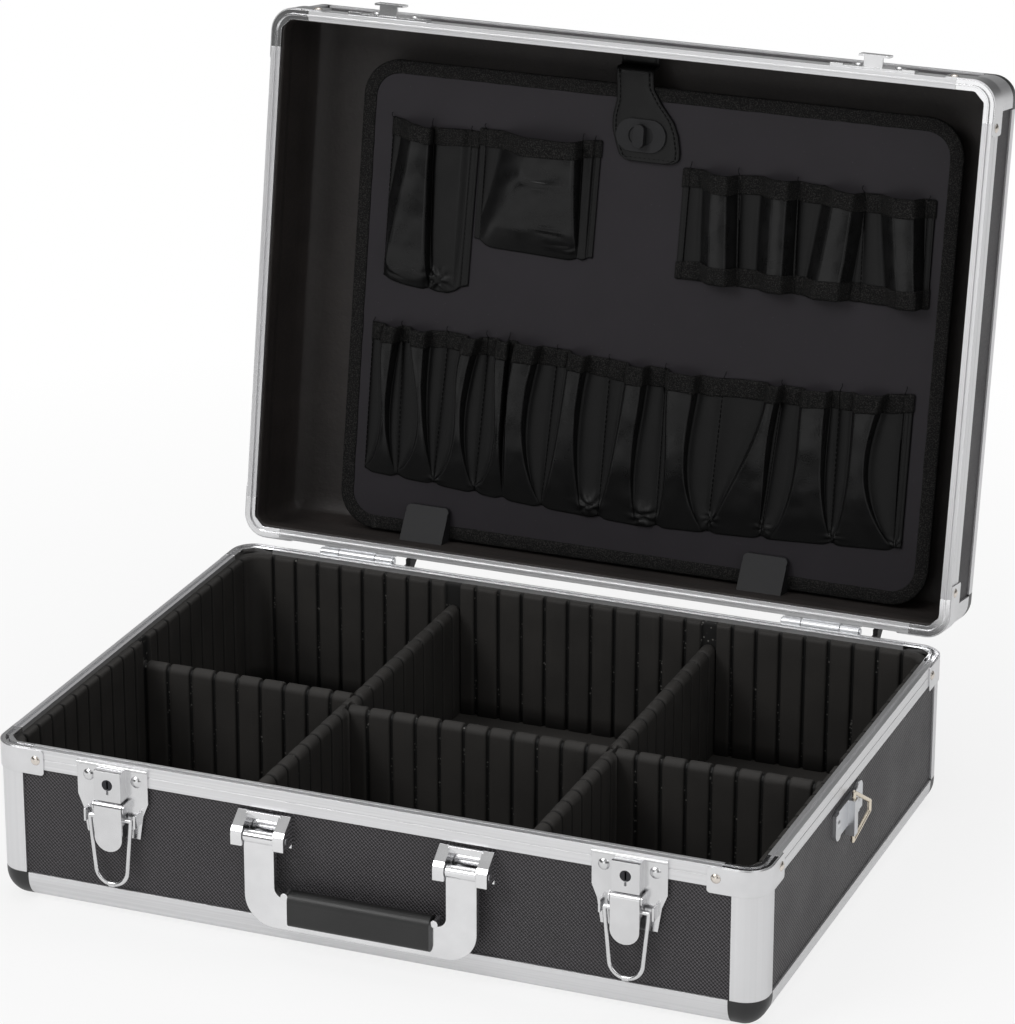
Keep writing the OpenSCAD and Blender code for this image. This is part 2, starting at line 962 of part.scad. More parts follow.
// triangular wire ring, lying back near the wall
module strap_ring() {
  half = channel_len / 2 + 4.2;
  apex = 18;
  tip = 3;
  side = sqrt(pow(half - tip, 2) + apex * apex);
  lean = atan2(half - tip, apex);
  translate([ring_out, 0, 0])
    rotate([0, 0, -ring_lean]) {
      translate([0, 0, -half])
        cylinder(r = ring_wire, h = 2 * half);
      for (s = [-1, 1]) {
        translate([0, 0, s * half])
          sphere(r = ring_wire);
        translate([0, 0, s * half])
          rotate([-90 - s * lean, 0, 0])
            cylinder(r = ring_wire, h = side);
        translate([0, apex, s * tip])
          sphere(r = ring_wire);
      }
      translate([0, apex, -tip])
        cylinder(r = ring_wire, h = 2 * tip);
    }
}

module strap_ring_left() {
  color([0.8, 0.7, 0.5])
    at_side(-1)
      strap_ring();
}

module strap_ring_right() {
  color([0.8, 0.7, 0.5])
    at_side(1)
      strap_ring();
}

// ---- hinges ----

// knuckle ranges along x: short base knuckles outside, long lid knuckle between
knuckle_end = 11.8;

module hinge_base_leaves() {
  color([0.78, 0.78, 0.8])
    for (s = [-1, 1])
      translate([s * hinge_x, 0, 0])
        difference() {
          union() {
            translate([-hinge_len / 2, cy, hinge_z - 20])
              cube([hinge_len, leaf_t, 16.2]);
            for (t = [-1, 1])
              translate([t > 0 ? hinge_len / 2 - knuckle_end : -hinge_len / 2, 0, 0]) {
                translate([0, hinge_y, hinge_z])
                  rotate([0, 90, 0])
                    cylinder(r = knuckle_r, h = knuckle_end);
                translate([0, cy, hinge_z - 5])
                  cube([knuckle_end, hinge_out - 0.4, 4.6]);
              }
          }
          translate([-50, hinge_y, hinge_z])
            rotate([0, 90, 0])
              cylinder(r = pin_r, h = 100);
        }
}

module hinge_pins() {
  color([0.7, 0.7, 0.72])
    for (s = [-1, 1])
      translate([s * hinge_x - hinge_len / 2 - 0.8, hinge_y, hinge_z])
        rotate([0, 90, 0]) {
          cylinder(r = pin_r, h = hinge_len + 1.6);
          cylinder(r = 2, h = 0.8);
          translate([0, 0, hinge_len + 0.8])
            cylinder(r = 2, h = 0.8);
        }
}

module hinge_lid_leaves() {
  long = hinge_len - 2 * knuckle_end - 2 * knuckle_gap;
  color([0.78, 0.78, 0.8])
    opened()
      for (s = [-1, 1])
        translate([s * hinge_x, 0, 0])
          difference() {
            union() {
              translate([-hinge_len / 2, cy, hinge_z + 3.8])
                cube([hinge_len, leaf_t, 16.2]);
              translate([-long / 2, hinge_y, hinge_z])
                rotate([0, 90, 0])
                  cylinder(r = knuckle_r, h = long);
              translate([-long / 2, cy, hinge_z + 0.4])
                cube([long, hinge_out - 0.4, 4.6]);
            }
            translate([-50, hinge_y, hinge_z])
              rotate([0, 90, 0])
                cylinder(r = pin_r + run_clear, h = 100);
          }
}

// brackets behind the rear wall that hold the open lid
module lid_stops() {
  color([0.2, 0.2, 0.21])
    for (s = [-1, 1])
      translate([s * hinge_x + 34, 0, 0])
        difference() {
          union() {
            translate([-4, cy, base_h - 18])
              cube([8, 1.6, 17]);
            translate([-1.5, cy, base_h - 9])
              cube([3, 14, 12]);
          }
          // the lid wall in the open pose, less a hair
          translate([0, hinge_y, hinge_z])
            rotate([-lid_angle, 0, 0])
              translate([-10, -hinge_out + 0.3 - 20, -20])
                cube([20, 20, 60]);
          // room for the rim of the lid while it turns
          translate([-10, cy - 1, base_h - 0.3])
            cube([20, hinge_out + 1, 10]);
          // slope under the shelf
          translate([-10, cy + 4, base_h - 9])
            rotate([40, 0, 0])
              translate([0, 0, -20])
                cube([20, 40, 20]);
        }
}

// ---- lid shell ----

module lid_side_panels() {
  color([0.2, 0.2, 0.22])
    opened()
      band(skin_t, inner_u, top_z + lid_rail_h - rail_grip, case_top - slot_u);
}

module lid_top_panel() {
  color([0.18, 0.18, 0.2])
    opened()
      translate([0, 0, case_top - skin_t - panel_t])
        linear_extrude(panel_t)
          outline(slot_u);
}

module lid_rail_shape() {
  translate([0, 0, top_z])
    mirror([0, 0, 1])
      rail_ring(lid_rail_h);
  band(2.2 + seal_clear, 2.2 + seal_w - seal_clear, top_z - rim_gap - 1, top_z + e);
}

module lid_rim_rails() {
  color([0.8, 0.8, 0.82])
    opened()
      difference() {
        lid_rail_shape();
        corner_boxes(corner_len, top_z - 3, top_z + lid_rail_h + 1);
      }
}

module lid_rim_corners() {
  color([0.9, 0.9, 0.92])
    opened() {
      intersection() {
        lid_rail_shape();
        corner_boxes(corner_len, top_z - 3, top_z + lid_rail_h + 1);
      }
      corner_gussets(top_z, top_z + 1.6);
    }
}

module lid_corner_posts() {
  color([0.82, 0.82, 0.84])
    opened()
      intersection() {
        band(0, skin_t, top_z + lid_rail_h, case_top - lid_edge_h);
        corner_boxes(post_w, base_h, case_top);
      }
}

module lid_corner_brackets() {
  color([0.86, 0.86, 0.88])
    opened()
      corner_bracket_set(top_z + 0.6, top_z + lid_rail_h + 3.4);
}

module lid_top_edges() {
  color([0.8, 0.8, 0.82])
    opened()
      translate([0, 0, case_top])
        mirror([0, 0, 1])
          edge_rails(lid_edge_h);
}

module lid_corner_caps() {
  color([0.12, 0.12, 0.13])
    opened()
      translate([0, 0, case_top])
        mirror([0, 0, 1])
          edge_caps(lid_edge_h);
}

module lid_rivets() {
  color([0.78, 0.74, 0.7])
    opened()
      corner_rivets(top_z + 7);
}

module lid_lining() {
  roof = case_top - skin_t - panel_t;
  color([0.13, 0.11, 0.1])
    opened() {
      band(rail_t, rail_t + lining_t, top_z + 1.8, top_z + lid_rail_h + lining_t);
      band(inner_u, rail_t + lining_t, top_z + lid_rail_h,
        top_z + lid_rail_h + lining_t);
      band(inner_u, inner_u + lining_t, top_z + lid_rail_h, case_top - edge_r);
      translate([0, 0, case_top])
        mirror([0, 0, 1])
          sweep_edge(edge_r)
            arc_section(edge_r - inner_u, edge_r - inner_u - lining_t);
      translate([0, 0, roof - lining_t])
        linear_extrude(lining_t)
          square([case_w - 2 * edge_r, case_d - 2 * edge_r], center = true);
    }
}

// plate on the lid front with a hooked tab for the bail
module latch_catches() {
  color([0.86, 0.86, 0.88])
    opened()
      for (s = [-1, 1])
        at_latch(s) {
          // back plate with two wings
          block(-26, 26, 0, skin_t, top_z + 1.2, top_z + 10);
          block(-16, 16, 0, skin_t, top_z + 9.9, top_z + 19);
          block(-26, -18, skin_t - e, 1.9, top_z + 1.2, top_z + 5);
          block(18, 26, skin_t - e, 1.9, top_z + 1.2, top_z + 5);
          // hook: shelf with a rib for the bail, outer lip and its rounded edge
          block(-5.8, 5.8, skin_t - e, 8.7, top_z + 2.6, top_z + 4.2);
          block(-2.6, 2.6, skin_t - e, 8.7, top_z + 4.1, hook_top);
          block(-9.2, 9.2, 7.3, 8.7, top_z + 2.6, top_z + 11);
          translate([-9.2, -8, top_z + 11])
            rotate([0, 90, 0])
              cylinder(r = 0.7, h = 18.4, $fn = 32);
          for (t = [-1, 1])
            translate([t * 12.6, -skin_t, top_z + 14.5])
              rotate([90, 0, 0])
                rivet(2.6, 1.2);
        }
}

// ---- tool board ----

module tool_board() {
  color([0.22, 0.2, 0.22])
    opened()
      translate([board_cx, board_cy, board_z])
        linear_extrude(board_t)
          rrect(board_w - 2 * bind_t, board_l - 2 * bind_t, board_r);
}

module board_binding() {
  color([0.12, 0.12, 0.12])
    opened()
      translate([board_cx, board_cy, board_z])
        difference() {
          translate([0, 0, -bind_t])
            linear_extrude(board_t + 2 * bind_t)
              difference() {
                rrect(board_w, board_l, board_r);
                rrect(board_w - 2 * bind_w, board_l - 2 * bind_w, board_r - bind_w);
              }
          linear_extrude(board_t)
            rrect(board_w - 2 * bind_t, board_l - 2 * bind_t, board_r);
        }
}

// an arched tube along y on the board face; ends open
module arch(x0, x1, y0, y1, d) {
  half = (x1 - x0) / 2;
  r = (half * half + d * d) / (2 * d);
  translate([(x0 + x1) / 2, y1, board_z])
    rotate([90, 0, 0])
      linear_extrude(y1 - y0)
        intersection() {
          difference() {
            translate([0, r - d])
              circle(r = r, $fn = 96);
            translate([0, r - d])
              circle(r = r - cloth_t, $fn = 96);
          }
          translate([-half, -d])
            square([2 * half, d]);
        }
}

// a solid end that closes an arch
module arch_end(x0, x1, y0, y1, d) {
  half = (x1 - x0) / 2;
  r = (half * half + d * d) / (2 * d);
  translate([(x0 + x1) / 2, y1, board_z])
    rotate([90, 0, 0])
      linear_extrude(y1 - y0)
        intersection() {
          translate([0, r - d])
            circle(r = r, $fn = 96);
          translate([-half, -d])
            square([2 * half, d]);
        }
}

module pocket(x0, x1, y0, y1, d) {
  arch(x0, x1, y0, y1, d);
  arch_end(x0, x1, y1 - 1.2, y1, d);
}

module lower_pockets() {
  color([0.08, 0.08, 0.08])
    opened()
      for (i = [0:10])
        pocket(across(row_edges[i]) + 0.4, across(row_edges[i + 1]) - 0.4, along(166),
          along(266), pocket_d);
}

module upper_pockets() {
  color([0.08, 0.08, 0.08])
    opened() {
      pocket(across(22), across(48) - 0.4, along(38), along(138), pocket_d + 1);
      pocket(across(48) + 0.4, across(79), along(38), along(138), pocket_d + 1);
      pocket(across(80.2), across(158.5), along(37), along(110.5), pocket_d + 3);
    }
}

module tool_loops() {
  color([0.08, 0.08, 0.08])
    opened()
      for (i = [0:3])
        arch(across(loop_edges[i]) + 0.6, across(loop_edges[i + 1]) - 0.6, along(48),
          along(114), pocket_d + 1);
}

// clip that holds the back edge of the board, its tongue sloping off the wall
module board_clips() {
  wall = cy - inner_u - lining_t;
  tip = wall - 22;
  width = 28.5;
  face = board_z - bind_t - 0.3;
  rear = board_z + board_t + bind_t + 0.3;
  slot = board_y1 + 0.3;
  color([0.16, 0.16, 0.17])
    opened()
      for (x = [across(61.5), across(285)])
        intersection() {
          translate([x - width / 2, 0, 0])
            rotate([90, 0, 90])
              linear_extrude(width)
                polygon([[tip, face - 2.2], [wall, face - 12.4], [wall, rear + 2.5],
                  [slot - 12, rear + 2.5], [slot - 12, rear], [slot, rear], [slot, face],
                  [tip, face]]);
          translate([x, wall, board_z - 30])
            linear_extrude(60) {
              rrect(width, 38, 3);
              rrect(width - 6, 44, 1);
              for (s = [-1, 1])
                translate([s * (width / 2 - 3), -19])
                  circle(r = 3);
            }
        }
}

module board_strap() {
  wall = -cy + inner_u + lining_t;
  front = board_z - bind_t;
  thick = 1.8;
  fold = lock_y - 41;
  step = board_z + 8;
  color([0.1, 0.1, 0.1])
    opened() {
      difference() {
        translate([lock_x, lock_y, front - thick])
          linear_extrude(thick)
            polygon([[-20, -41], [4.5, -41], [5.5, -30], [10, -22], [19, -14], [24, -2],
              [25.5, 10], [21, 14.5], [-9, 16], [-14, 12], [-17, 2], [-21, -12],
              [-19, -26]]);
        translate([lock_x, lock_y, front - 5])
          cylinder(r = 6, h = 10);
      }
      // folded back past the board to the wall
      translate([lock_x - 20, 0, 0])
        rotate([90, 0, 90])
          linear_extrude(24.5)
            polygon([[fold, front - thick], [fold + thick, front - thick],
              [fold + thick, step + thick], [wall, step + thick], [wall, step - 14],
              [wall + thick, step - 14], [wall + thick, step], [fold, step]]);
    }
}

module turn_lock_plate() {
  front = board_z - bind_t - 1.8;
  color([0.14, 0.14, 0.15])
    opened()
      difference() {
        union() {
          translate([0, 0, front - 1.6])
            linear_extrude(1.6)
              translate([lock_x, lock_y])
                rrect(32, 20, 9.9);
          // socket through the strap down to the board
          translate([lock_x, lock_y, front - 1.6])
            cylinder(r = 5.6, h = board_z - front + 1.6);
        }
        // oval recess and post bore
        translate([lock_x, lock_y, front - 2])
          linear_extrude(1.2)
            rrect(15.6, 11, 5.4);
        translate([lock_x, lock_y, front - 2])
          cylinder(r = 3 + run_clear, h = board_z - front + 2 - 0.6);
      }
}

module turn_lock_knob() {
  front = board_z - bind_t - 1.8;
  color([0.16, 0.16, 0.17])
    opened()
      translate([lock_x, lock_y, 0]) {
        translate([0, 0, front - 2.4])
          cylinder(r = 3, h = 4);
        translate([0, 0, front - 6.6])
          linear_extrude(4.4)
            rrect(7, 14.4, 3.4);
      }
}

base_side_panels();
base_bottom_panel();
base_rim_rails();
base_rim_corners();
base_corner_posts();
base_corner_brackets();
base_bottom_edges();
base_corner_caps();
base_rivets();
wall_lining();
floor_lining();
latch_plate_left();
latch_plate_right();
handle_brackets();
handle_pins();
strap_brackets();
hinge_base_leaves();
hinge_pins();
lid_stops();
latch_pins();
lock_cylinder_left();
lock_cylinder_right();
latch_lever_left();
latch_lever_right();
latch_bail_left();
latch_bail_right();
handle_frame();
handle_grip();
strap_ring_left();
strap_ring_right();
divider_long_left();
divider_long_right();
divider_cross_left();
divider_cross_middle();
divider_cross_right();
lid_side_panels();
lid_top_panel();
lid_rim_rails();
lid_rim_corners();
lid_corner_posts();
lid_corner_brackets();
lid_top_edges();
lid_corner_caps();
lid_rivets();
lid_lining();
hinge_lid_leaves();
latch_catches();
tool_board();
board_binding();
upper_pockets();
tool_loops();
lower_pockets();
board_clips();
board_strap();
turn_lock_plate();
turn_lock_knob();
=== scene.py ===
"""Looks of the hard tool case: foam, lining, pockets, strap, finishes and the studio."""

import json
import math

import bmesh
import bpy
import numpy as np
from mathutils import Matrix, Vector


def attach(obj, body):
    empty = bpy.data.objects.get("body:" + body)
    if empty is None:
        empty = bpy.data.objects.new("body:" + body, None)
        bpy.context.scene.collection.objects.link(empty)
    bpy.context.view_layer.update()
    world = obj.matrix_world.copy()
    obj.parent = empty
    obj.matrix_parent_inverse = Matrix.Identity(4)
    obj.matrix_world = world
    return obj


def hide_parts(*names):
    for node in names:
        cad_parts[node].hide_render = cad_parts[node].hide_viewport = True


bl_info = {
    "name": "Hard tool case",
    "version": (1, 0, 0),
    "blender": (4, 5, 0),
    "location": "3D View > Sidebar > Tool case",
    "description": "Dresses the framed tool case with foam, pockets and finishes",
    "category": "Object",
}

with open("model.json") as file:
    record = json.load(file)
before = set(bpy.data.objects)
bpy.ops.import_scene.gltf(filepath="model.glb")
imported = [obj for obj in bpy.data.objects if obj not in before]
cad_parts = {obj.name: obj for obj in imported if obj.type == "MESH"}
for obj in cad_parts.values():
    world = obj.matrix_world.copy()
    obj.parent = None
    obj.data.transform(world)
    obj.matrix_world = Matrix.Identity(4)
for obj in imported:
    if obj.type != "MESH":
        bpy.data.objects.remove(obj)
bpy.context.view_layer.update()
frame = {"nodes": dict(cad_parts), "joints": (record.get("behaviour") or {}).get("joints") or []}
NODES = frame["nodes"]
MM = 0.001

LID = next(j for j in frame["joints"] if j["child"] == "lid")
HINGE_Y, HINGE_Z = LID["pos_m"][1] / MM, LID["pos_m"][2] / MM
LID_ANGLE = math.radians(LID["range_deg"][1])


def node_box(name, lid=False):
    """Lowest and highest corner of a solid in millimetres, the lid's as if closed."""
    mesh = NODES[name].data
    p = np.empty(len(mesh.vertices) * 3)
    mesh.vertices.foreach_get("co", p)
    p = p.reshape(-1, 3) / MM
    if lid:
        c, s = math.cos(LID_ANGLE), math.sin(LID_ANGLE)
        y, z = p[:, 1] - HINGE_Y, p[:, 2] - HINGE_Z
        p = np.stack([p[:, 0], HINGE_Y + c * y - s * z, HINGE_Z + s * y + c * z], 1)
    return np.round(np.array([p.min(0), p.max(0)]), 2)


def middle(name, axis):
    """Middle of a solid's box along an axis."""
    return float(node_box(name)[:, axis].mean())


HALF_W, HALF_D = node_box("base_rim_rails")[1][:2]
FOAM_TOP = node_box("wall_lining")[1][2]
FLOOR_TOP = node_box("floor_lining")[1][2]
FOAM_IN = 11.2  # from the outline to the wall foam's inner face
FOAM_THICK = 6.9
SLOT_HALF = 4.95  # half of the slot that a divider stands in
SLOT_DEEP = 2.3  # how far a divider's end reaches into it
LONG_X = (middle("divider_long_left", 0), middle("divider_long_right", 0))
CROSS_BACK, CROSS_FRONT = middle("divider_cross_left", 1), middle("divider_cross_middle", 1)
DIVIDER_TOP = node_box("divider_long_left")[1][2]
EDGE_LOW, EDGE_HIGH = node_box("board_binding", True)
BOARD_Z = node_box("tool_board", True)[0][2]  # the board's face, which looks down on a closed case
ROWS = 90  # of points from a pocket's mouth to its foot
THREAD = 0.34  # radius of the thread on the pockets


# ---- settings ----


def size(name, text, default, low, high):
    """A length in millimetres that a user may change."""
    return bpy.props.FloatProperty(
        name=name, description=text, default=default, min=low, max=high
    )


def paint_colour(name, text, default):
    """A linear colour that a user may change."""
    return bpy.props.FloatVectorProperty(
        name=name,
        description=text,
        default=default,
        size=3,
        min=0,
        max=1,
        subtype="COLOR",
    )


class CaseSizes(bpy.types.PropertyGroup):
    """Sizes of the soft pieces, in millimetres."""

    pitch: size("Groove pitch", "Spacing of the foam grooves", 15.2, 12, 20)
    groove: size("Groove depth", "Depth of a foam groove", 2.3, 1, 3.5)
    divider: size("Divider", "Thickness of a divider", 9.3, 6, 10)
    cloth: size("Cloth", "Thickness of the pocket material", 0.7, 0.4, 1.2)
    tape: size("Tape", "Width of the woven tape on the pockets", 10.5, 5, 12)
    emboss: size("Emboss", "Spacing of the panel's ridges", 1.65, 1, 4)


class CaseColours(bpy.types.PropertyGroup):
    """Colours of the finishes, linear."""

    panel: paint_colour("Panel", "Skin of the panels", (0.090, 0.083, 0.091))
    foam: paint_colour("Foam", "Wall foam and dividers", (0.021, 0.019, 0.017))
    board: paint_colour("Board", "Cover of the tool board", (0.0196, 0.0171, 0.0209))
    leather: paint_colour("Pockets", "Imitation leather", (0.0058, 0.0058, 0.0059))
    liner: paint_colour("Liner", "Paper inside the lid", (0.022, 0.018, 0.0165))
    rail: paint_colour("Rails", "Anodised profiles", (0.78, 0.78, 0.79))
    chrome: paint_colour("Fittings", "Plated fittings", (0.84, 0.84, 0.85))


def sizes():
    return bpy.context.scene.case_sizes


def colours():
    return bpy.context.scene.case_colours


# ---- meshes worked out with arrays ----


def opened(points):
    """Points of the closed lid turned back by the lid angle about the hinge line."""
    p = np.asarray(points, float)
    y, z = p[..., 1] - HINGE_Y, p[..., 2] - HINGE_Z
    c, s = math.cos(LID_ANGLE), math.sin(LID_ANGLE)
    return np.stack([p[..., 0], HINGE_Y + c * y + s * z, HINGE_Z - s * y + c * z], -1)


class Shape:
    """Gathers grids of points and their quads for one mesh, in millimetres."""

    def __init__(self):
        self.points, self.faces, self.marks, self.count = [], [], [], 0

    def grid(self, p, wrap=False, mark=None, caps=(), rows_wrap=False):
        """Adds a grid of points, rows by columns. wrap joins the last column to the
        first, rows_wrap the last row to the first, and caps closes row 0 or -1."""
        rows, cols = p.shape[:2]
        index = self.count + np.arange(rows * cols).reshape(rows, cols)
        if wrap:
            index = np.concatenate([index, index[:, :1]], 1)
        if rows_wrap:
            index = np.concatenate([index, index[:1]], 0)
        quads = np.stack(
            [index[:-1, :-1], index[:-1, 1:], index[1:, 1:], index[1:, :-1]], -1
        )
        self.faces += quads.reshape(-1, 4).tolist()
        for cap in caps:
            loop = index[cap, :cols].tolist()
            self.faces.append(loop[::-1] if cap == 0 else loop)
        self.points.append(p.reshape(-1, 3))
        self.marks.append(
            np.zeros(rows * cols) if mark is None else np.broadcast_to(mark, (rows, cols)).ravel()
        )
        self.count += rows * cols
        return self

    def copies(self, p, faces):
        """Adds the same small shape many times: p is copies by points by 3."""
        n, m = p.shape[:2]
        shift = (self.count + m * np.arange(n))[:, None, None]
        self.faces += (np.asarray(faces)[None] + shift).reshape(n * len(faces), -1).tolist()
        self.points.append(p.reshape(-1, 3))
        self.marks.append(np.zeros(n * m))
        self.count += n * m
        return self

    def piece(self, name, lid=False, recalc=True):
        """The mesh object, at the origin, in metres. Points of the lid are opened."""
        p = np.concatenate(self.points)
        p = (opened(p) if lid else p) * MM
        mesh = bpy.data.meshes.new(name)
        mesh.from_pydata(p.tolist(), [], self.faces)
        # the mark per point: foam turns it into painted shade in grooves, leather into painted shade on flats
        # and painted highlight on raised faces
        marks = mesh.attributes.new("groove", "FLOAT", "POINT")
        marks.data.foreach_set("value", np.concatenate(self.marks).astype(np.float32))
        work = bmesh.new()
        work.from_mesh(mesh)
        if recalc:
            bmesh.ops.recalc_face_normals(work, faces=work.faces)
        work.to_mesh(mesh)
        work.free()
        mesh.polygons.foreach_set("use_smooth", [True] * len(mesh.polygons))
        piece = bpy.data.objects.new(name, mesh)
        bpy.context.scene.collection.objects.link(piece)
        return piece


def dress(piece, body, material, replaces=()):
    """Puts a piece on its body, its material and the solids it stands for."""
    piece.data.materials.append(material)
    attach(piece, body)
    if replaces:
        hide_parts(*replaces)
    return piece


def modify(piece, kind, **settings):
    """Adds a modifier with its settings."""
    modifier = piece.modifiers.new(kind.title(), kind)
    for key, value in settings.items():
        setattr(modifier, key, value)
    return piece


def soften(p, passes):
    """Rounds lines of points by averaging each with its neighbours, ends kept."""
    p = p.copy()
    for _ in range(passes):
        p[:, 1:-1] = 0.25 * p[:, :-2] + 0.5 * p[:, 1:-1] + 0.25 * p[:, 2:]
    return p


def tube(path, radius, sides=8):
    """A round tube along a path: a circle in the plane across each point's direction."""
    path = np.asarray(path, float)
    run = np.gradient(path, axis=0)
    run /= np.linalg.norm(run, axis=1, keepdims=True)
    side = np.cross(run, [0.31, 0.17, 0.93])
    side /= np.linalg.norm(side, axis=1, keepdims=True)
    up = np.cross(run, side)
    t = np.linspace(0, 2 * np.pi, sides, endpoint=False)
    ring = side[:, None] * np.cos(t)[None, :, None] + up[:, None] * np.sin(t)[None, :, None]
    return path[:, None] + ring * np.reshape(radius, (-1, 1, 1))


def thread(shape, at, along, out, length, radius, rise=0.25):
    """Sewn stitches as short low arches: at is each middle, along its direction and
    out the way it stands up; a circle of five points is carried over each arch."""
    along, out = (np.broadcast_to(np.asarray(a, float), at.shape) for a in (along, out))
    s = np.array([-0.5, -0.42, -0.2, 0.2, 0.42, 0.5])
    lift = np.array([-0.9, -0.1, 0.35, 0.35, -0.1, -0.9]) * radius + rise * radius
    t = np.linspace(0, 2 * np.pi, 5, endpoint=False)
    wide = np.cross(along, out)
    ring = wide[:, None, None] * np.cos(t)[None, None, :, None] * radius
    ring = ring + out[:, None, None] * np.sin(t)[None, None, :, None] * radius
    middle = at[:, None] + along[:, None] * (s * length)[None, :, None]
    middle = middle + out[:, None] * lift[None, :, None]
    p = (middle[:, :, None] + ring).reshape(len(at), -1, 3)
    i = np.arange(25).reshape(5, 5)
    j = (i // 5) * 5 + (i + 1) % 5
    quads = np.stack([i, j, j + 5, i + 5], -1).reshape(-1, 4)
    return shape.copies(p, quads)


def walk(path, step):
    """Evenly spaced places along a line, with the direction at each."""
    path = np.asarray(path, float)
    gaps = np.linalg.norm(np.diff(path, axis=0), axis=1)
    far = np.concatenate([[0], np.cumsum(gaps)])
    at = np.arange(0.5 * step, far[-1], step)
    place, ahead, back = (
        np.stack([np.interp(at + near, far, path[:, k]) for k in range(3)], 1)
        for near in (0, 0.1, -0.1)
    )
    run = ahead - back
    return place, run / np.linalg.norm(run, axis=1, keepdims=True)


def rounded_loop(half_w, half_d, radius, step=6.0, corner=9, extra_x=None, extra_y=None):
    """Points and outward directions round a rounded rectangle, anticlockwise from the
    front right: four straight runs and four quarter circles."""
    sx, sy = half_w - radius, half_d - radius
    xs = np.arange(-sx, sx, step) if extra_x is None else extra_x[np.abs(extra_x) < sx]
    ys = np.arange(-sy, sy, step) if extra_y is None else extra_y[np.abs(extra_y) < sy]
    turn = np.linspace(0, np.pi / 2, corner)
    points, normals = [], []

    def run(p, n):
        points.append(p)
        normals.append(np.broadcast_to(n, p.shape))

    def bend(cx, cy, a0):
        n = np.stack([np.cos(a0 + turn), np.sin(a0 + turn)], 1)
        run(np.array([cx, cy]) + radius * n, n)

    run(np.stack([xs, np.full(len(xs), -half_d)], 1), (0, -1))
    bend(sx, -sy, -np.pi / 2)
    run(np.stack([np.full(len(ys), half_w), ys], 1), (1, 0))
    bend(sx, sy, 0)
    run(np.stack([xs[::-1], np.full(len(xs), half_d)], 1), (0, 1))
    bend(-sx, sy, np.pi / 2)
    run(np.stack([np.full(len(ys), -half_w), ys[::-1]], 1), (-1, 0))
    bend(-sx, -sy, np.pi)
    return np.concatenate(points), np.concatenate(normals)


def ring(u):
    """The case's outline drawn in by u all round; past 22 mm it only shrinks towards the
    middle, so that no corner crosses itself."""
    near = min(u, 22.0)
    radius = max(14.0 - near, 3.0)
    sx, sy = HALF_W - near - radius, HALF_D - near - radius
    path, out = rounded_loop(
        HALF_W - near,
        HALF_D - near,
        radius,
        extra_x=np.linspace(-sx, sx, 80),
        extra_y=np.linspace(-sy, sy, 60),
    )
    return path * (HALF_D - u) / (HALF_D - near), out


def ring_rows(rows):
    """Rings stacked into rows: each row is how far in it lies and its height."""
    p = np.zeros((len(rows), len(ring(0)[0]), 3))
    for row, (u, z) in zip(p, rows):
        row[:, :2], row[:, 2] = ring(u)[0], z
    return p


def smooth_noise(p, seed, scale):
    """A soft wandering value: a sum of sines in fixed random directions."""
    rng = np.random.default_rng(seed)
    k = rng.normal(size=(7, 3)) / scale
    f = rng.uniform(0, 2 * np.pi, 7)
    return np.sin(np.tensordot(p, k, ([-1], [1])) + f).mean(-1)


# ---- materials ----


class Value:
    """A socket with arithmetic: each sign adds one Math node."""

    def __init__(self, paint, socket):
        self.paint, self.socket = paint, socket

    def sum_of(self, operation, *terms):
        return self.paint.node(
            "ShaderNodeMath", {"operation": operation}, dict(enumerate(terms))
        )

    def __add__(self, other):
        return self.sum_of("ADD", self, other)

    def __sub__(self, other):
        return self.sum_of("SUBTRACT", self, other)

    def __rsub__(self, other):
        return self.sum_of("SUBTRACT", other, self)

    def __mul__(self, other):
        return self.sum_of("MULTIPLY", self, other)

    def __pow__(self, other):
        return self.sum_of("POWER", self, other)

    def __abs__(self):
        return self.sum_of("ABSOLUTE", self)

    def greatest(self, other):
        return self.sum_of("MAXIMUM", self, other)

    def above(self, edge):
        return self.sum_of("GREATER_THAN", self, edge)

    def wave(self, length):
        """A triangle wave, 0 at each line and 1 between two lines."""
        return self.sum_of("PINGPONG", self, length / 2) * (2 / length)

    def ramp(self, low, high):
        """0 up to low, 1 from high, even between them."""
        return self.paint.node(
            "ShaderNodeMapRange", {"clamp": True}, {0: self, 1: low, 2: high}
        )


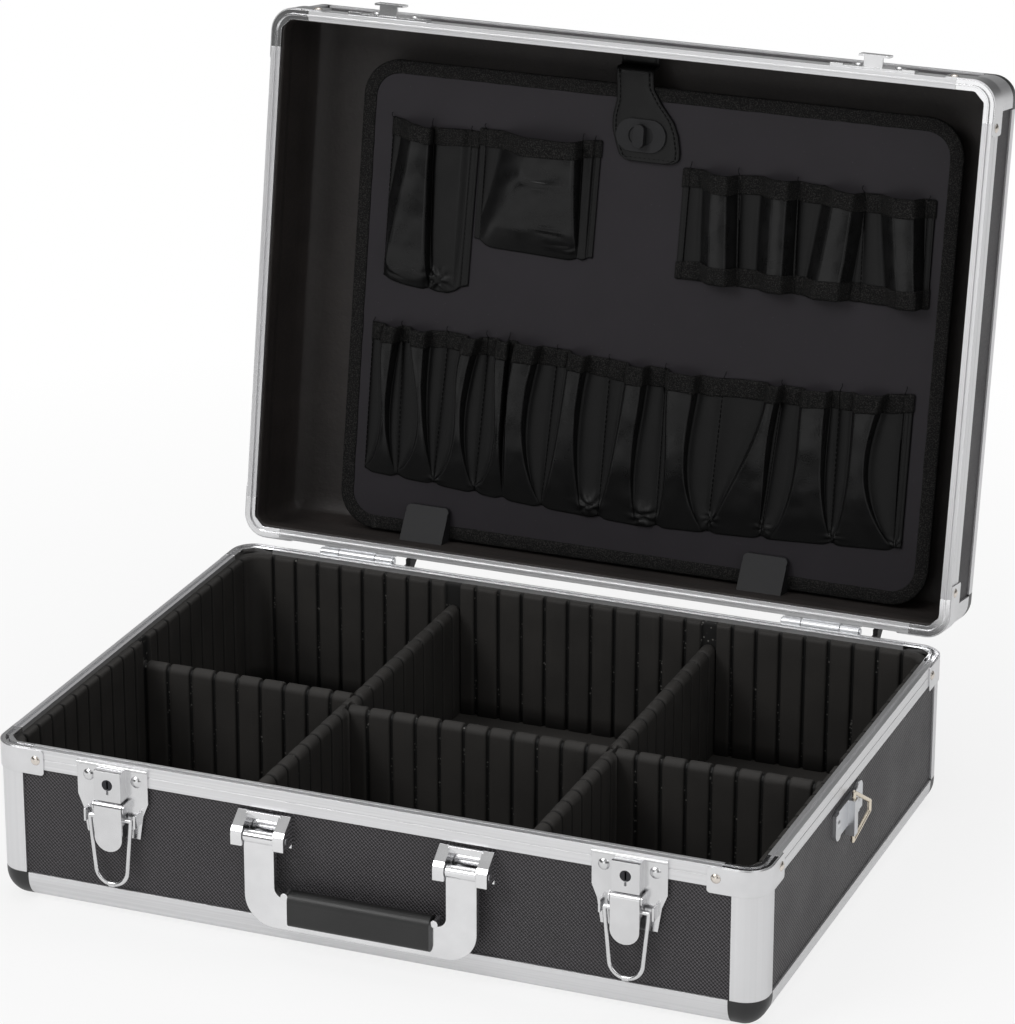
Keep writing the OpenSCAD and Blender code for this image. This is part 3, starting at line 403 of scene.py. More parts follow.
class Paint:
    """A material and its nodes."""

    def __init__(self, name):
        self.material = bpy.data.materials.new(name)
        self.material.use_nodes = True
        self.tree = self.material.node_tree
        self.tree.nodes.clear()
        self.shader = self.tree.nodes.new("ShaderNodeBsdfPrincipled")
        out = self.tree.nodes.new("ShaderNodeOutputMaterial")
        self.tree.links.new(self.shader.outputs[0], out.inputs[0])

    def node(self, kind, settings=None, values=None, out=0):
        """Adds a node: its settings first, then the values or links of its sockets."""
        made = self.tree.nodes.new(kind)
        for key, value in (settings or {}).items():
            setattr(made, key, value)
        for key, value in (values or {}).items():
            self.put(made.inputs[key], value)
        return Value(self, made.outputs[out])

    def put(self, socket, value):
        if isinstance(value, Value):
            self.tree.links.new(value.socket, socket)
        else:
            socket.default_value = value

    def places(self, lid=False):
        """Object coordinates, turned to the closed case for a piece of the lid."""
        at = self.node("ShaderNodeTexCoord", out=3)
        if not lid:
            return at
        c, s = math.cos(LID_ANGLE), math.sin(LID_ANGLE)
        y, z = HINGE_Y * MM, HINGE_Z * MM
        shift = (0, y - (c * y - s * z), z - (s * y + c * z))
        return self.node(
            "ShaderNodeMapping", None, {0: at, 1: shift, 2: (LID_ANGLE, 0, 0)}
        )

    def split(self, at):
        """The three numbers of a vector."""
        made = self.node("ShaderNodeSeparateXYZ", None, {0: at})
        return [Value(self, made.socket.node.outputs[i]) for i in range(3)]

    def noise(self, at, scale, detail=3.0, rough=0.5):
        return self.node(
            "ShaderNodeTexNoise",
            None,
            {"Vector": at, "Scale": scale, "Detail": detail, "Roughness": rough},
        )

    def cells(self, at, scale, feature="F1"):
        return self.node(
            "ShaderNodeTexVoronoi",
            {"feature": feature},
            {"Vector": at, "Scale": scale, "Randomness": 1.0},
        )

    def stretch(self, at, scale):
        """Places multiplied along each axis."""
        return self.node("ShaderNodeVectorMath", {"operation": "MULTIPLY"}, {0: at, 1: scale})

    def blend(self, share, a, b):
        """From colour a to colour b."""
        a, b = ((*x, 1) if isinstance(x, tuple) and len(x) == 3 else x for x in (a, b))
        return self.node("ShaderNodeMix", {"data_type": "RGBA"}, {0: share, 6: a, 7: b}, out=2)

    def bump(self, height, depth, normal=None):
        """A normal from a height of 0 to 1 that stands for depth in metres."""
        values = {"Height": height, "Distance": depth, "Strength": 1.0}
        if normal is not None:
            values["Normal"] = normal
        return self.node("ShaderNodeBump", None, values)

    def edge(self, radius):
        """A normal that rounds sharp edges over a radius in metres."""
        return self.node("ShaderNodeBevel", {"samples": 4}, {"Radius": radius})

    def finish(self, **sockets):
        """Sets the shader's sockets, with spaces for underlines."""
        for key, value in sockets.items():
            self.put(self.shader.inputs[key.replace("_", " ").title().replace("Ior", "IOR")], value)
        return self.material


def scaled(colour, share):
    return tuple(min(1.0, c * share) for c in colour)


def make_panel(name, lid, flat=False):
    """Black skin with crossed raised ridges at 45 degrees and a pit in each square, darkened with painted
    shade. Along a wall x plus y runs evenly on all four sides."""
    p = Paint(name)
    at = p.places(lid)
    x, y, z = p.split(at)
    u, v = (x, y) if flat else (x + y, z)
    pitch = sizes().emboss * MM
    one = ((u + v) * 0.70711).wave(pitch)
    two = ((u - v) * 0.70711).wave(pitch)
    pit = one.ramp(0.1, 0.75) * (two.ramp(0.1, 0.7) * 0.75 + 0.25)
    wear = p.noise(at, 22.0, 2.0).ramp(0.3, 0.7)
    base = tuple(colours().panel)
    tone = p.blend(wear, scaled(base, 0.9), scaled(base, 1.12))
    # painted shade: the colour in each pit drops to a small share of the panel colour
    tone = p.blend(pit.ramp(0.08, 0.42), tone, scaled(base, 0.07))
    return p.finish(
        base_color=tone,
        roughness=wear * 0.12 + 0.42,
        normal=p.bump(1 - pit, 0.0003),
    )


def make_rail(name, lid, upright=False):
    """Satin aluminium drawn along its length: fine lines that vary across the wall
    and with height, but not along the run. A post is drawn upright."""
    p = Paint(name)
    at = p.places(lid)
    x = p.split(at)[0]
    if upright:
        lines = p.noise(p.stretch(at, (500, 500, 2)), 1.0, 2.0)
    else:
        side = abs(x).above((HALF_W - 8) * MM)
        lines_x = p.noise(p.stretch(at, (3, 900, 900)), 1.0, 2.0)
        lines_y = p.noise(p.stretch(at, (900, 3, 900)), 1.0, 2.0)
        lines = lines_x * (1 - side) + lines_y * side
    cloud = p.noise(at, 14.0, 3.0)
    base = tuple(colours().rail)
    share = 0.02 if upright else 0.06
    tone = p.blend(lines.ramp(0.3, 0.7), scaled(base, 1 - share), scaled(base, 1 + share))
    return p.finish(
        base_color=tone,
        metallic=0.85,
        roughness=cloud * 0.12 + 0.3,
        normal=p.bump(lines, 0.000008 if upright else 0.00003, p.edge(0.0004)),
    )


def make_metal(name, colour, rough, radius=0.0004):
    """Plated or bare metal with cloudy polish, faint scratches and soft edges."""
    p = Paint(name)
    at = p.places()
    cloud = p.noise(at, 60.0, 3.0)
    scratch = p.noise(p.stretch(at, (900, 300, 200)), 1.0, 1.0)
    tone = p.blend(cloud.ramp(0.35, 0.7), scaled(colour, 0.95), scaled(colour, 1.04))
    return p.finish(
        base_color=tone,
        metallic=1.0,
        roughness=cloud * (rough * 0.5) + rough * 0.75,
        normal=p.bump(scratch, 0.000006, p.edge(radius)),
    )


def make_plastic(name, colour, rough=0.38, grain=1400.0, depth=0.00002, shine=0.5):
    """Moulded plastic with a fine even grain and paler worn patches."""
    p = Paint(name)
    at = p.places()
    cloud = p.noise(at, 45.0, 3.0)
    tone = p.blend(cloud.ramp(0.4, 0.75), colour, scaled(colour, 1.5))
    return p.finish(
        base_color=tone,
        roughness=cloud * 0.15 + rough,
        specular_ior_level=shine,
        normal=p.bump(p.noise(at, grain, 2.0), depth, p.edge(0.0005)),
    )


def make_foam(name):
    """Closed cell foam: dusty black skin, fine cells, and grooves darkened with painted shade, with small
    pale specks of glue in them."""
    p = Paint(name)
    at = p.places()
    groove = p.node("ShaderNodeAttribute", {"attribute_name": "groove"}, out=2)
    dust = p.noise(at, 35.0, 5.0, 0.65)
    streak = p.noise(p.stretch(at, (260, 260, 18)), 1.0, 3.0)
    base = tuple(colours().foam)
    tone = p.blend(dust.ramp(0.35, 0.8), scaled(base, 0.85), scaled(base, 1.35))
    tone = p.blend(streak.ramp(0.62, 0.8) * 0.3, tone, scaled(base, 1.9))
    # painted shade: the grooves get darker towards their bottoms, down to a small share of the foam colour
    tone = p.blend(groove.ramp(0.15, 0.8), tone, scaled(base, 0.12))
    speck = p.cells(at, 420.0).ramp(0.3, 0.18) * p.noise(at, 60.0, 2.0).ramp(0.48, 0.58)
    tone = p.blend(speck * groove.ramp(0.5, 0.9), tone, (0.16, 0.155, 0.145))
    cells = p.cells(at, 1500.0)
    return p.finish(
        base_color=tone,
        roughness=dust * 0.2 + 0.62,
        normal=p.bump(cells + dust * 2.0, 0.00006),
    )


def make_leather(name):
    """Imitation leather: fine pebble grain, rougher where it lies flat and glossier where it stands up;
    painted shade darkens the flat parts, and painted highlight makes the raised parts paler, with pale sheen
    patches on them."""
    p = Paint(name)
    at = p.places(True)
    raised = p.node("ShaderNodeAttribute", {"attribute_name": "groove"}, out=2)
    grain = p.cells(at, 1300.0, "SMOOTH_F1")
    soft = p.noise(at, 90.0, 3.0)
    base = tuple(colours().leather)
    # painted shade on the flat cloth and painted light on the raised faces, by the raised share
    tone = p.blend(raised, scaled(base, 0.65), scaled(base, 1.15))
    # painted highlight: pale sheen patches on the raised faces
    tone = p.blend(soft.ramp(0.45, 0.75) * raised, tone, scaled(base, 2.0))
    return p.finish(
        base_color=tone,
        roughness=soft * 0.14 + 0.4 - raised * 0.19,
        specular_ior_level=0.24,
        normal=p.bump(grain + soft * 1.5, 0.00004),
    )


def make_tape(name, colour, speck):
    """Woven tape: crossed threads with pale broken specks on their crowns."""
    p = Paint(name)
    at = p.places(True)
    x, y, z = p.split(at)
    warp = (x + y * 0.15).wave(0.0011)
    weft = (y + z).wave(0.0009)
    weave = warp.greatest(weft) - warp * weft * 0.4
    broken = p.noise(at, 1500.0, 2.0).ramp(0.5, 0.62)
    tone = p.blend(broken * weave, colour, speck)
    return p.finish(
        base_color=tone,
        roughness=0.8,
        specular_ior_level=0.15,
        normal=p.bump(weave + broken * 0.5, 0.00018),
    )


def make_board(name):
    """Pressed board with a thin dark covering, even and slightly mottled."""
    p = Paint(name)
    at = p.places(True)
    mottle = p.noise(at, 25.0, 4.0, 0.6)
    fibre = p.noise(p.stretch(at, (1500, 500, 500)), 1.0, 2.0)
    base = tuple(colours().board)
    tone = p.blend(mottle.ramp(0.35, 0.7), scaled(base, 0.92), scaled(base, 1.1))
    dust = p.noise(at, 700.0, 2.0).ramp(0.72, 0.78) * 0.5
    tone = p.blend(dust, tone, scaled(base, 3.0))
    return p.finish(
        base_color=tone,
        roughness=mottle * 0.1 + 0.5,
        specular_ior_level=0.25,
        normal=p.bump(fibre, 0.00003),
    )


def make_liner(name):
    """Thin brown black liner paper with light creases."""
    p = Paint(name)
    at = p.places(True)
    crease = p.noise(at, 18.0, 6.0, 0.7)
    fine = p.noise(at, 500.0, 3.0)
    base = tuple(colours().liner)
    tone = p.blend(crease.ramp(0.35, 0.75), scaled(base, 0.8), scaled(base, 1.5))
    return p.finish(
        base_color=tone,
        roughness=fine * 0.15 + 0.5,
        normal=p.bump(crease * 3.0 + fine * 0.3, 0.0004),
    )


def material(kind, *args, **settings):
    """One material of each name, made the first time it is asked for."""
    name = args[0]
    return bpy.data.materials.get(name) or kind(*args, **settings)


def black_thread():
    return material(make_plastic, "Black thread", (0.0018, 0.0018, 0.0018), 0.6, shine=0.1)


def cover(names, paint):
    """Gives shown solids their material."""
    for name in names:
        mesh = NODES[name].data
        mesh.materials.clear()
        mesh.materials.append(paint)


# ---- pieces ----


GROOVE_OFF = [0, 0.7, 0.95, 1.25, 1.8, 3.0]  # off a groove's middle line
GROOVE_SUNK = [1, 1, 0.75, 0.22, 0.05, 0]  # and how far it has sunk there


def groove_depth(along, first, pitch):
    """How far a groove has sunk at each place, 0 on a rib and 1 at its bottom."""
    off = np.abs((along - first + pitch / 2) % pitch - pitch / 2)
    return np.interp(off, GROOVE_OFF, GROOVE_SUNK)


def groove_places(low, high, first, pitch, slots):
    """Sorted places along a wall that catch the rounding of every groove and slot."""
    k = np.arange(math.ceil((low - first) / pitch) - 1, math.floor((high - first) / pitch) + 2)
    near = np.array([*GROOVE_OFF, 5.5])
    near = np.concatenate([-near[1:], near])
    spots = [(first + k[:, None] * pitch + near).ravel(), [low, high]]
    for slot in slots:
        spots.append(slot + np.array([-5.6, -4.9, -4.5, 4.5, 4.9, 5.6]))
    spots = np.unique(np.round(np.concatenate(spots), 3))
    return spots[(spots >= low) & (spots <= high)]


class CASE_OT_wall_foam(bpy.types.Operator):
    """Grooved foam round the walls of the base and the pad on its floor"""

    bl_idname = "case.wall_foam"
    bl_label = "Wall foam"

    def execute(self, context):
        """The wall's section, offset from the wall against height, is carried round the
        rounded outline; the inner face sinks by the groove at each place."""
        pitch, deep = sizes().pitch, sizes().groove
        radius = 10.0
        half_w, half_d = HALF_W - FOAM_IN, HALF_D - FOAM_IN
        gx = groove_places(-half_w + radius, half_w - radius, LONG_X[0], pitch, LONG_X)
        cross = (CROSS_BACK, CROSS_FRONT)
        gy = groove_places(-half_d + radius, half_d - radius, CROSS_BACK, pitch, cross)
        path, out = rounded_loop(half_w, half_d, radius, extra_x=gx, extra_y=gy)
        across = np.abs(out[:, 1]) > 0.999
        upright = np.abs(out[:, 0]) > 0.999
        sunk = np.zeros(len(path))
        slot = 1.22  # share of a groove's depth that a divider's slot is sunk
        sunk[across] = groove_depth(path[across, 0], LONG_X[0], pitch)
        for x in LONG_X:
            near = across & (np.abs(path[:, 0] - x) < SLOT_HALF)
            sunk[near] = np.maximum(sunk[near], slot)
        sunk[upright] = groove_depth(path[upright, 1], CROSS_BACK, pitch)
        for sign, y in ((-1, CROSS_BACK), (1, CROSS_FRONT)):
            near = upright & (np.sign(path[:, 0]) == sign) & (np.abs(path[:, 1] - y) < SLOT_HALF)
            sunk[near] = np.maximum(sunk[near], slot)
        # rows: (offset outward from the inner face, height, share of the groove)
        rows = np.array(
            [(0, FLOOR_TOP + 0.1, 1)]
            + [(0, z, 1) for z in (20, 35, 50, 65, 80, FOAM_TOP - 2.4)]
            + [(0.25, FOAM_TOP - 1.1, 1), (0.9, FOAM_TOP - 0.3, 0.9), (1.9, FOAM_TOP, 0.75)]
            + [(5.0, FOAM_TOP, 0.1), (6.5, FOAM_TOP - 0.2, 0), (FOAM_THICK, FOAM_TOP - 0.8, 0)]
            + [(FOAM_THICK, 60, 0), (FOAM_THICK, 16.3, 0)]
            + [(3.6, 16.2, 0), (3.6, FLOOR_TOP + 0.1, 0)]
        )
        off = rows[:, :1] + sunk[None] * deep * rows[:, 2:]
        off = np.minimum(off, FOAM_THICK)
        p = np.zeros((len(rows), len(path), 3))
        p[..., :2] = path[None] + out[None] * off[..., None]
        p[..., 2] = rows[:, 1:2]
        sway = smooth_noise(p, 3, 45) * 0.25 * (rows[:, 2:] > 0)
        p[..., :2] -= out[None] * np.maximum(sway, -0.1)[..., None]
        # groove share per point; the foam material darkens the grooves with it as painted shade
        mark = np.clip(sunk[None] * rows[:, 2:], 0, 1)
        foam = Shape().grid(p, wrap=True, rows_wrap=True, mark=mark).piece("wall_foam")
        dress(foam, "base", material(make_foam, "Grooved foam"), ["wall_lining"])

        low = [(12.0, 4.3), (11.2, 5.5), (8.6, 7.4), (8.3, 7.8), (8.5, 8.1), (9.2, 8.2)]
        flat = [(u, 8.2) for u in (11, 14, 40, 90, 150)]
        pad = Shape().grid(ring_rows(low + flat), wrap=True, caps=(0, -1)).piece("floor_foam")
        dress(pad, "base", material(make_foam, "Grooved foam"), ["floor_lining"])
        return {"FINISHED"}


def divider(name, along_x, fixed, low, high, first, slots, node):
    """A foam divider: a flat sided section with a round top is carried along its
    length, and each groove draws the whole section in, over the top as well."""
    pitch, deep = sizes().pitch, sizes().groove
    half = sizes().divider / 2
    s = groove_places(low + 0.02, high - 0.02, first, pitch, [y for y, _ in slots])
    ends = np.clip((np.minimum(s - low, high - s)) / 0.8, 0, 1)
    sunk = groove_depth(s, first, pitch) * deep * 0.85
    top = DIVIDER_TOP - half
    a = np.linspace(0, np.pi, 13)
    t = np.concatenate([np.full(7, 1.0), np.cos(a), np.full(7, -1.0)])
    side_up = np.linspace(FLOOR_TOP + 0.05, top, 8)[:7]
    side_down = np.linspace(top, FLOOR_TOP + 0.05, 8)[1:]
    z = np.concatenate([side_up, np.full(13, top), side_down])
    lift = np.concatenate([np.zeros(7), np.sin(a), np.zeros(7)])
    wide = np.broadcast_to((half - sunk)[:, None], (len(s), len(t))).copy()
    for place, side in slots:
        near = np.abs(s - place) < SLOT_HALF
        cut = near[:, None] & (np.sign(t) == side)[None] & (np.abs(t) > 0.3)[None]
        wide[cut] = np.minimum(wide[cut], half - SLOT_DEEP - 0.45)
    round_ends = 1 - 0.12 * (1 - np.sqrt(ends))
    wide = wide * round_ends[:, None]
    p = np.zeros((len(s), len(t), 3))
    run = np.broadcast_to(s[:, None], wide.shape)
    cross = fixed + t[None] * wide
    p[..., 0], p[..., 1] = (run, cross) if along_x else (cross, run)
    p[..., 2] = z[None] + lift[None] * np.maximum(wide, half - deep)
    sway = smooth_noise(p, 11, 60) * 0.22
    p[..., 1 if along_x else 0] += sway
    # groove share per point; the foam material darkens the grooves with it as painted shade
    mark = np.broadcast_to((sunk / (deep * 0.85))[:, None], wide.shape)
    piece = Shape().grid(p, wrap=True, caps=(0, -1), mark=mark).piece(name)
    sharp = math.radians(60)
    modify(piece, "BEVEL", width=0.0005, segments=2, limit_method="ANGLE", angle_limit=sharp)
    body = node.replace("divider_", "") + "_divider"
    dress(piece, body, material(make_foam, "Grooved foam"), [node])


class CASE_OT_dividers(bpy.types.Operator):
    """Two long and three cross dividers of grooved foam"""

    bl_idname = "case.dividers"
    bl_label = "Dividers"

    def execute(self, context):
        reach = HALF_D - FOAM_IN + SLOT_DEEP
        half = sizes().divider / 2
        first = CROSS_BACK
        left = [(CROSS_BACK, -1), (CROSS_FRONT, 1)]
        right = [(CROSS_FRONT, -1), (CROSS_FRONT, 1)]
        for name, x, slots in (("left", LONG_X[0], left), ("right", LONG_X[1], right)):
            node = "divider_long_" + name
            divider("foam_long_" + name, False, x, -reach, reach, first, slots, node)
        edge = HALF_W - FOAM_IN + SLOT_DEEP
        inner = half - SLOT_DEEP
        spans = (
            ("left", -edge, LONG_X[0] - inner, CROSS_BACK),
            ("middle", LONG_X[0] + inner, LONG_X[1] - inner, CROSS_FRONT),
            ("right", LONG_X[1] + inner, edge, CROSS_FRONT),
        )
        for name, low, high, y in spans:
            node = "divider_cross_" + name
            divider("foam_cross_" + name, True, y, low, high, LONG_X[0], (), node)
        return {"FINISHED"}


class CASE_OT_lid_liner(bpy.types.Operator):
    """Paper that lines the walls and the roof of the lid"""

    bl_idname = "case.lid_liner"
    bl_label = "Lid liner"

    def execute(self, context):
        """A section that covers the rail, climbs the wall, folds once and crosses the
        roof is carried round the outline, with a slow ripple pressed into it."""
        rail = [(6.3, 99.3), (7.0, 99.5), (7.1, 103), (7.1, 108), (7.1, 112.4), (6.6, 113.2)]
        wall = [(5.4, z) for z in (114.5, 120, 126, 132, 138)] + [(5.7, 143), (6.4, 146.5)]
        fold = [(7.4, 149.6), (8.1, 151.3), (8.5, 152.0), (9.0, 152.6)]
        fold += [(10.6, 153.6), (13.5, 154.6)]
        roof = [(u, 155.3) for u in (18, 22, 27, 34, 44, 60, 80, 110, 150)]
        p = ring_rows(rail + wall + fold + roof)
        out = ring(0)[1]
        ripple = smooth_noise(p, 5, 26) * 0.3 + smooth_noise(p, 6, 9) * 0.1 - 0.2
        up = np.clip((p[..., 2] - 148) / 6, 0, 1)
        ripple *= np.clip((p[..., 2] - 112) / 6, 0, 1)
        p[..., :2] -= out[None] * ((1 - up) * ripple)[..., None]
        p[..., 2] -= up * ripple
        liner = Shape().grid(p, wrap=True, caps=(-1,)).piece("lid_liner", lid=True, recalc=False)
        liner.data.flip_normals()
        modify(liner, "SOLIDIFY", thickness=0.0004, offset=-1.0)
        dress(liner, "lid", material(make_liner, "Liner paper"), ["lid_lining"])
        return {"FINISHED"}


class CASE_OT_board_edge(bpy.types.Operator):
    """Woven tape folded round the edge of the tool board"""

    bl_idname = "case.board_edge"
    bl_label = "Board edge tape"

    def execute(self, context):
        """A folded tape section is carried round the rounded outline of the board."""
        size_x, size_y = (EDGE_HIGH - EDGE_LOW)[:2]
        path, out = rounded_loop(size_x / 2, size_y / 2, 24.0, step=3.0, corner=15)
        rows = np.array(
            [(8.7, 0.02), (8.6, -0.5), (8.1, -0.75), (5.5, -0.82), (3, -0.8), (1, -0.75)]
            + [(0.35, -0.4), (0.1, 0.3), (0.1, 2.7), (0.35, 3.4), (1, 3.75), (5, 3.8)]
            + [(8, 3.7), (8.7, 3.02), (0.95, 3.0), (0.95, 0.02)]
        )
        p = np.zeros((len(rows), len(path), 3))
        p[..., :2] = path[None] - out[None] * rows[:, :1, None]
        p[..., 2] = rows[:, 1:2]
        soft = smooth_noise(p, 8, 7) * 0.12
        p[..., 2] += soft * (rows[:, 1:2] < -0.3)
        p[..., :2] += out[None] * (smooth_noise(p, 12, 5) * 0.35 * (rows[:, :1] > 7))[..., None]
        p += [*(EDGE_HIGH + EDGE_LOW)[:2] / 2, BOARD_Z]
        edge = Shape().grid(p, wrap=True, rows_wrap=True).piece("board_edge_tape", lid=True)
        paint = material(make_tape, "Edge tape", (0.006, 0.006, 0.006), (0.046, 0.043, 0.041))
        dress(edge, "lid", paint, ["board_binding"])
        return {"FINISHED"}


def run(values):
    """Evenly spaced values from mouth to foot as one line over the rows: up to four
    lie on one curve, more are joined and smoothed."""
    v, spots = np.linspace(0, 1, ROWS), np.linspace(0, 1, len(values))
    if len(values) < 5:
        return np.polyval(np.polyfit(spots, values, len(values) - 1), v)
    return soften(np.interp(v, spots, values)[None], 6)[0]


def pocket_section(x0, x1, left, right, deep, slope):
    """The cloth across one pocket at each row, as place across against height off the
    board: flat from the left seam, up the sloping left wall, over the face between its
    two creases, down the right wall and flat to the right seam."""
    flat = np.minimum(1.0, deep)
    left, right = np.maximum(left, x0 + 0.7), np.maximum(right, x0 + 2.0)
    foot_l = np.minimum(np.maximum(left - slope[0] * deep, x0 + 0.3), left - 0.2)
    foot_r = np.minimum(right + slope[1] * deep, x1 - 0.3)
    wide_l, wide_r = (np.clip(w, 0, 9) / 9 for w in (foot_l - x0, x1 - foot_r))
    corners = [(x0, 0.45 * flat)]
    puffs = ((0.25, 0.6), (0.7, 0.9))
    corners += [(x0 + s * (foot_l - x0), flat + puff * wide_l) for s, puff in puffs]
    corners += [(foot_l, flat), (foot_l + 0.45 * (left - foot_l), flat + 0.5 * (deep - flat))]
    sags = ((0, 1.0), (0.12, 0.975), (0.5, 0.95), (0.88, 0.975), (1, 1.0))
    corners += [(left + s * (right - left), high * deep) for s, high in sags]
    corners += [(right + 0.5 * (foot_r - right), flat + 0.5 * (deep - flat)), (foot_r, flat)]
    puffs = ((0.3, 0.9), (0.75, 0.6))
    corners += [(foot_r + s * (x1 - foot_r), flat + puff * wide_r) for s, puff in puffs]
    corners += [(x1, 0.45 * flat)]
    c = np.stack([np.stack(np.broadcast_arrays(*pair), -1) for pair in corners], 1)
    share = np.arange(0, len(corners) - 1 + 1e-6, 1 / 3)
    low = np.minimum(share.astype(int), len(corners) - 2)
    part = (share - low)[None, :, None]
    return soften(c[:, low] * (1 - part) + c[:, low + 1] * part, 1)


def pocket_row(seams, faces, top, bottom, crumples=(), closed=True):
    """The whole sewn strip, its pockets side by side and row by row from mouth to foot.
    Each face is its left edge, right edge, height off the board and wall slopes."""
    parts = []
    for start, end, (left, right, deep, slope) in zip(seams[:-1], seams[1:], faces):
        line = pocket_section(run(start), run(end), run(left), run(right), run(deep), slope)
        parts.append(line[:, :-1])
    parts.append(np.stack([run(seams[-1]), np.full(ROWS, 0.45)], -1)[:, None])
    line = np.concatenate(parts, 1)
    x, high = line[..., 0], line[..., 1]
    v = np.linspace(0, 1, ROWS)[:, None]
    low = np.interp(x, *bottom)
    if closed:
        for seam in seams:
            low = low - 1.8 * np.exp(-(((x - seam[-1]) / 3.0) ** 2))
    y = np.interp(x, *top) * (1 - v) + low * v
    p = np.stack([x, y, BOARD_Z - high], -1)
    # raised share of the cloth; the leather material also uses it for painted shade on flats and painted
    # highlight on faces
    raised = np.clip((high - 1.5) / 5, 0, 1)
    crinkle = smooth_noise(p, 21, 9) * 0.5 + smooth_noise(p, 22, 3.2) * 0.14
    p[..., 2] -= crinkle * raised
    p[..., 0] += crinkle * raised * 0.6
    for cx, cy, reach, amount in crumples:
        near = np.exp(-((x - cx) ** 2 + (y - cy) ** 2) / reach**2)
        turn = np.arctan2(y - cy, x - cx) + smooth_noise(p, 41, reach * 0.5) * 0.5
        p[..., 2] -= near * amount * (0.45 + 0.55 * np.cos(6 * turn))
        p[..., 0] += near * amount * 0.5 * smooth_noise(p, 42, reach * 0.35)
    p[..., 2] = np.minimum(p[..., 2], BOARD_Z - 0.42)
    if closed:
        hem = p[-1:] + [0, 0.3, 0]
        hem[..., 2] = BOARD_Z - 0.4
        p, raised = np.concatenate([p, hem]), np.concatenate([raised, raised[-1:]])
    places = np.linspace(seams[0][0], seams[-1][0], 50)
    tall = float(np.mean(np.interp(places, *bottom) - np.interp(places, *top)))
    return p, raised, (cut_across(seams, faces, 0), cut_across(seams, faces, -1), tall)


def band_of(p, low, high, lift):
    """A band over a sewn strip between two shares of its height, lifted off it along
    the strip's own normal."""
    at = np.linspace(low, high, 9) * (ROWS - 1)
    i = np.clip(np.floor(at).astype(int), 0, ROWS - 2)
    part = (at - i)[:, None, None]
    band = p[i] * (1 - part) + p[i + 1] * part
    up = np.cross(np.gradient(band, axis=1), [0, 1, 0])
    up /= np.maximum(np.linalg.norm(up, axis=2, keepdims=True), 1e-9)
    return band + up * lift


def cut_across(seams, faces, end):
    """Width that a strip was cut to, from its sewing plan at the mouth (0) or foot (-1):
    flat to each pocket, up one wall, over the face, down the other wall and flat on."""
    total = 0.0
    for start, stop, (left, right, deep, slope) in zip(seams[:-1], seams[1:], faces):
        rise = max(deep[end] - 1.0, 0.0)
        up = min(slope[0] * deep[end], left[end] - start[end])
        down = min(slope[1] * deep[end], stop[end] - right[end])
        flat = stop[end] - start[end] - up - down
        total += flat + math.hypot(up, rise) + math.hypot(down, rise)
    return total


def sew(name, strip, node, seams, tapes):
    """Makes the strip, its tapes and its thread from the strip's points."""
    p, raised, (mouth, foot, tall) = strip
    sheet = Shape().grid(p, mark=raised).piece(name, lid=True, recalc=False)
    modify(sheet, "SOLIDIFY", thickness=sizes().cloth * MM, offset=0.0)
    dress(sheet, "lid", material(make_leather, "Imitation leather"), [node])
    mouth * MM
    tall * MM
    tape = material(make_tape, "Pocket tape", (0.0045, 0.0045, 0.0045), (0.046, 0.044, 0.042))
    share = sizes().tape / tall
    for k, at_top in enumerate(tapes):
        low, high = (0.0, share) if at_top else (1 - share, 1.0)
        front, back = band_of(p, low, high, -0.75), band_of(p, low, high, 0.75)
        edge = np.linspace(0, 1, len(front))[:, None] - (0 if at_top else 1)
        for side in (front, back):
            side[..., 1] += edge * smooth_noise(side * [1, 0, 0], 33 + k, 5) * 1.6
        if at_top:
            rim = (front[:1] + back[:1]) / 2 - [0, 0.7, 0]
            band = np.concatenate([front[::-1], rim, back])
        else:
            rim = (front[-1:] + back[-1:]) / 2 + [0, 0.7, 0]
            band = np.concatenate([front, rim, back[::-1]])
        band[..., 1] += smooth_noise(band * [1, 0, 0], 35 + k, 9) * 1.2
        band[..., 2] -= smooth_noise(band, 31 + k, 4) * 0.12
        band[..., 2] = np.minimum(band[..., 2], BOARD_Z - 0.35)
        hem = Shape().grid(band).piece(f"{name}_tape_{k + 1}", lid=True, recalc=False)
        modify(hem, "SOLIDIFY", thickness=0.0006, offset=0.0)
        dress(hem, "lid", tape)
        length = (mouth if at_top else foot) * MM
    stitches = Shape()
    rng = np.random.default_rng(len(seams))
    for seam in seams:
        column = np.abs(p[0, :, 0] - seam[0]).argmin()
        line = p[:ROWS, column].copy()
        line[:, 2] = BOARD_Z - 0.95
        place, ahead = walk(line, 3.1)
        thread(stitches, place, ahead, (0, 0, -1), 2.2, THREAD)
        t = np.linspace(0, 1, 9)
        high, bow = rng.uniform(3.0, 6.0), rng.uniform(-2.2, 2.2)
        x, y = seam[0] + bow * np.sin(t * 2.6) * t, line[0, 1] - 0.3 - high * t
        tail = np.stack([x, y, BOARD_Z - 1.4 - 1.6 * np.sin(t * 3)], 1)
        stitches.grid(tube(tail, 0.24, 6), wrap=True, caps=(0, -1))
    seam = stitches.piece(name + "_thread", lid=True)
    dress(seam, "lid", black_thread())


